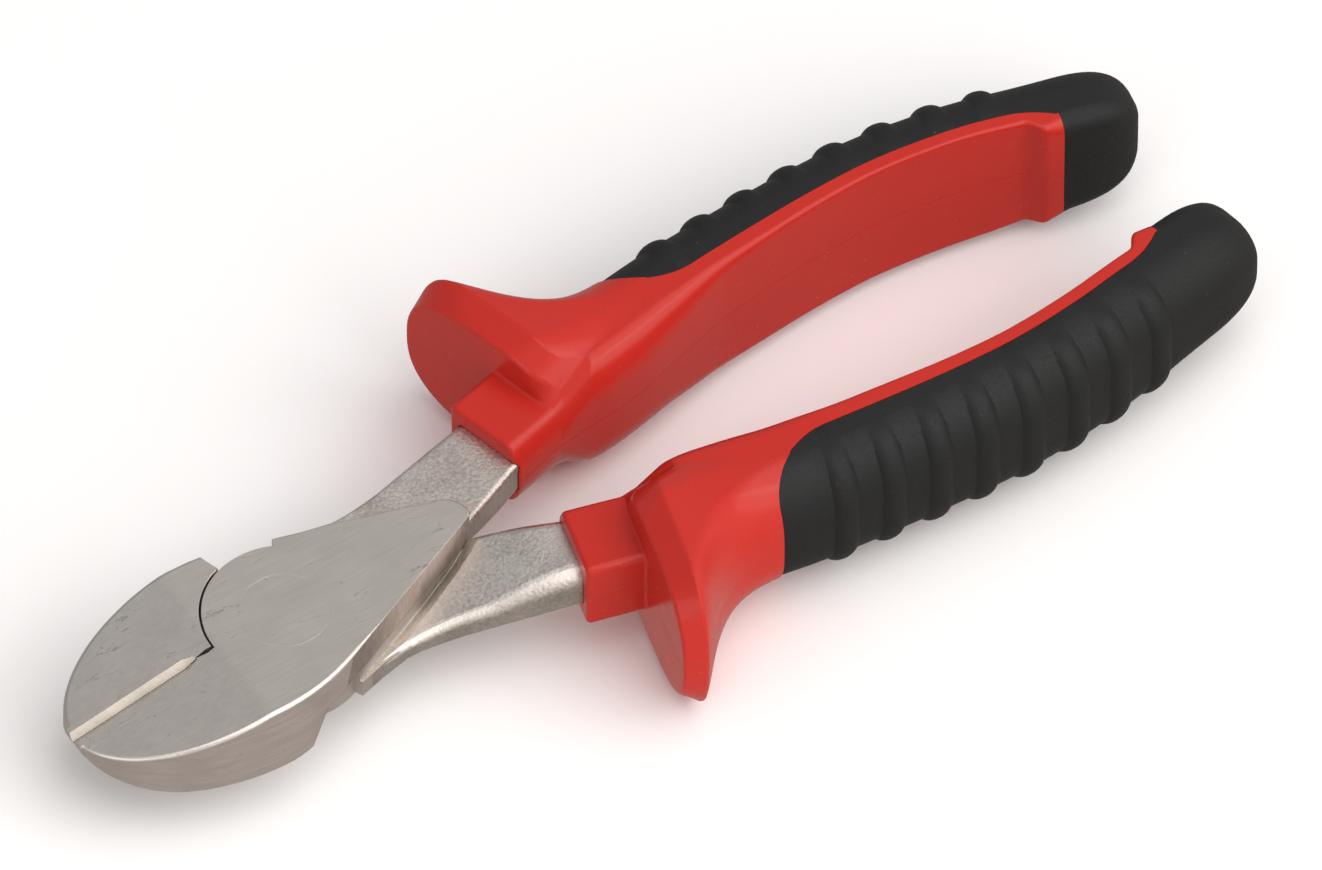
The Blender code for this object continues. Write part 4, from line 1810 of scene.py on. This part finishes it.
@dataclass
class Studio:
    """A pale floor under the tool, large soft lights and the camera; sizes are in metres.

    Attributes:
        floor_z: Height of what the tool lies on.
        middle_z: Height of the middle of the joint.
    """

    floor_z: float
    middle_z: float
    aim: Point = (0.0619, 0.0013)
    floor_size: float = 6.0
    floor_colour: str = "#FBFBFB"
    floor_roughness: float = 0.9
    room_front: str = "#F0E7E0"
    room_back: str = "#A2A4A8"
    room_below: str = "#A8A19B"
    room_way: tuple[float, float, float] = (0.4, -0.9, 0.0)
    room_fade: Point = (-0.9, 0.9)
    below_fade: Point = (-0.05, 0.35)
    softboxes: tuple[Softbox, ...] = (
        Softbox("top_softbox", (0.2, -0.35, 0.95), (1.15, 1.15), 1.35),
        Softbox("front_softbox", (0.4, -0.86, 0.58), (1.2, 0.8), 1.4),
        Softbox("left_softbox", (-0.9, -0.3, 0.5), (0.6, 0.6), 1.2),
    )
    elevation: float = 51.29
    azimuth: float = -32.86
    distance: float = 5.0
    frame_width: float = 0.18104

    @property
    def target(self) -> Vector:
        """What the camera looks at."""
        return Vector((*self.aim, self.middle_z))

    def add_floor(self) -> None:
        """Lay the floor, which isn't part of the tool."""
        bm = bmesh.new()
        bmesh.ops.create_grid(bm, x_segments=1, y_segments=1, size=self.floor_size)
        bmesh.ops.translate(bm, vec=(0, 0, self.floor_z), verts=bm.verts)
        mesh = bpy.data.meshes.new("studio_floor")
        bm.to_mesh(mesh)
        bm.free()
        material, tree, _ = new_material("matt_white_paper")
        shader = tree.nodes["Principled BSDF"]
        shader.inputs["Base Color"].default_value = linear(self.floor_colour)
        shader.inputs["Roughness"].default_value = self.floor_roughness
        mesh.materials.append(material)
        floor = bpy.data.objects.new("studio_floor", mesh)
        bpy.context.scene.collection.objects.link(floor)
        floor.visible_glossy = False

    def add_softbox(self, box: Softbox) -> None:
        """Hang a light."""
        wide, tall = box.size
        light = bpy.data.lights.new(box.name, "AREA")
        light.shape = "RECTANGLE"
        light.size = wide
        light.size_y = tall
        light.energy = box.radiance * math.pi * wide * tall
        lamp = bpy.data.objects.new(box.name, light)
        lamp.location = self.target + Vector(box.place)
        lamp.rotation_euler = Vector(box.place).to_track_quat("Z", "Y").to_euler()
        lamp.visible_camera = False
        bpy.context.scene.collection.objects.link(lamp)

    def add_world(self) -> None:
        """Fill the room with light that is brighter and warmer towards the front."""
        world = bpy.data.worlds.new("studio_room")
        world.use_nodes = True
        tree = world.node_tree
        way = add_node(tree, "ShaderNodeTexCoord").outputs["Generated"]
        front = add_node(tree, "ShaderNodeVectorMath", {0: way, 1: self.room_way}, operation="DOT_PRODUCT")
        low, high = self.room_fade
        share = add_node(
            tree, "ShaderNodeMapRange", {VALUE: front.outputs["Value"], FROM_LOW: low, FROM_HIGH: high}
        )
        room = add_node(
            tree,
            "ShaderNodeMix",
            {MIX_FACTOR: share.outputs[0], MIX_A: linear(self.room_back), MIX_B: linear(self.room_front)},
            data_type="RGBA",
        )
        down = (0.0, 0.0, -1.0)
        fall = add_node(tree, "ShaderNodeVectorMath", {0: way, 1: down}, operation="DOT_PRODUCT")
        low, high = self.below_fade
        below = add_node(
            tree, "ShaderNodeMapRange", {VALUE: fall.outputs["Value"], FROM_LOW: low, FROM_HIGH: high}
        )
        whole = add_node(
            tree,
            "ShaderNodeMix",
            {MIX_FACTOR: below.outputs[0], MIX_A: room.outputs[MIX_RESULT], MIX_B: linear(self.room_below)},
            data_type="RGBA",
        )
        tree.links.new(whole.outputs[MIX_RESULT], tree.nodes["Background"].inputs["Color"])
        bpy.context.scene.world = world
        bpy.context.scene.view_settings.view_transform = "Standard"

    def add_camera(self) -> None:
        """Set the camera at the photograph's angle, far off with a long lens."""
        data = bpy.data.cameras.new("photo_camera")
        data.lens = data.sensor_width * self.distance / self.frame_width
        data.clip_end = 4 * self.distance
        turn, rise = math.radians(self.azimuth), math.radians(self.elevation)
        level = math.cos(rise)
        back = Vector((math.sin(turn) * level, -math.cos(turn) * level, math.sin(rise)))
        camera = bpy.data.objects.new("photo_camera", data)
        camera.location = self.target + back * self.distance
        camera.rotation_euler = back.to_track_quat("Z", "Y").to_euler()
        bpy.context.scene.collection.objects.link(camera)
        bpy.context.scene.camera = camera

    def build(self) -> None:
        """Set up the whole studio."""
        self.add_floor()
        self.add_world()
        for box in self.softboxes:
            self.add_softbox(box)
        self.add_camera()


def main() -> None:
    """Build every piece, then the studio."""
    logging.basicConfig(level=logging.INFO, format="%(name)s %(message)s")
    steel = [finish.value.build() for finish in SteelFinish]
    red, black = RED_PLASTIC.build(), BLACK_RUBBER.build()
    low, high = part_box("pivot_rivet")
    half_thick = (high.z - low.z) / 2 / MM
    shape = GripShape()
    rivet = Rivet(half_thick)
    rivet.build(steel[SteelFinish.GROUND_FACE.index])
    for layer in Layer:
        half = ForgedHalf(layer, half_thick)
        half.build(shape, rivet, steel)
        GripCore(layer, shape).build(half, red)
        GripOvermould(layer, shape).build(black)
    Studio(CAD_BOX[0].z, (low.z + high.z) / 2).build()


if __name__ == "__main__":
    main()
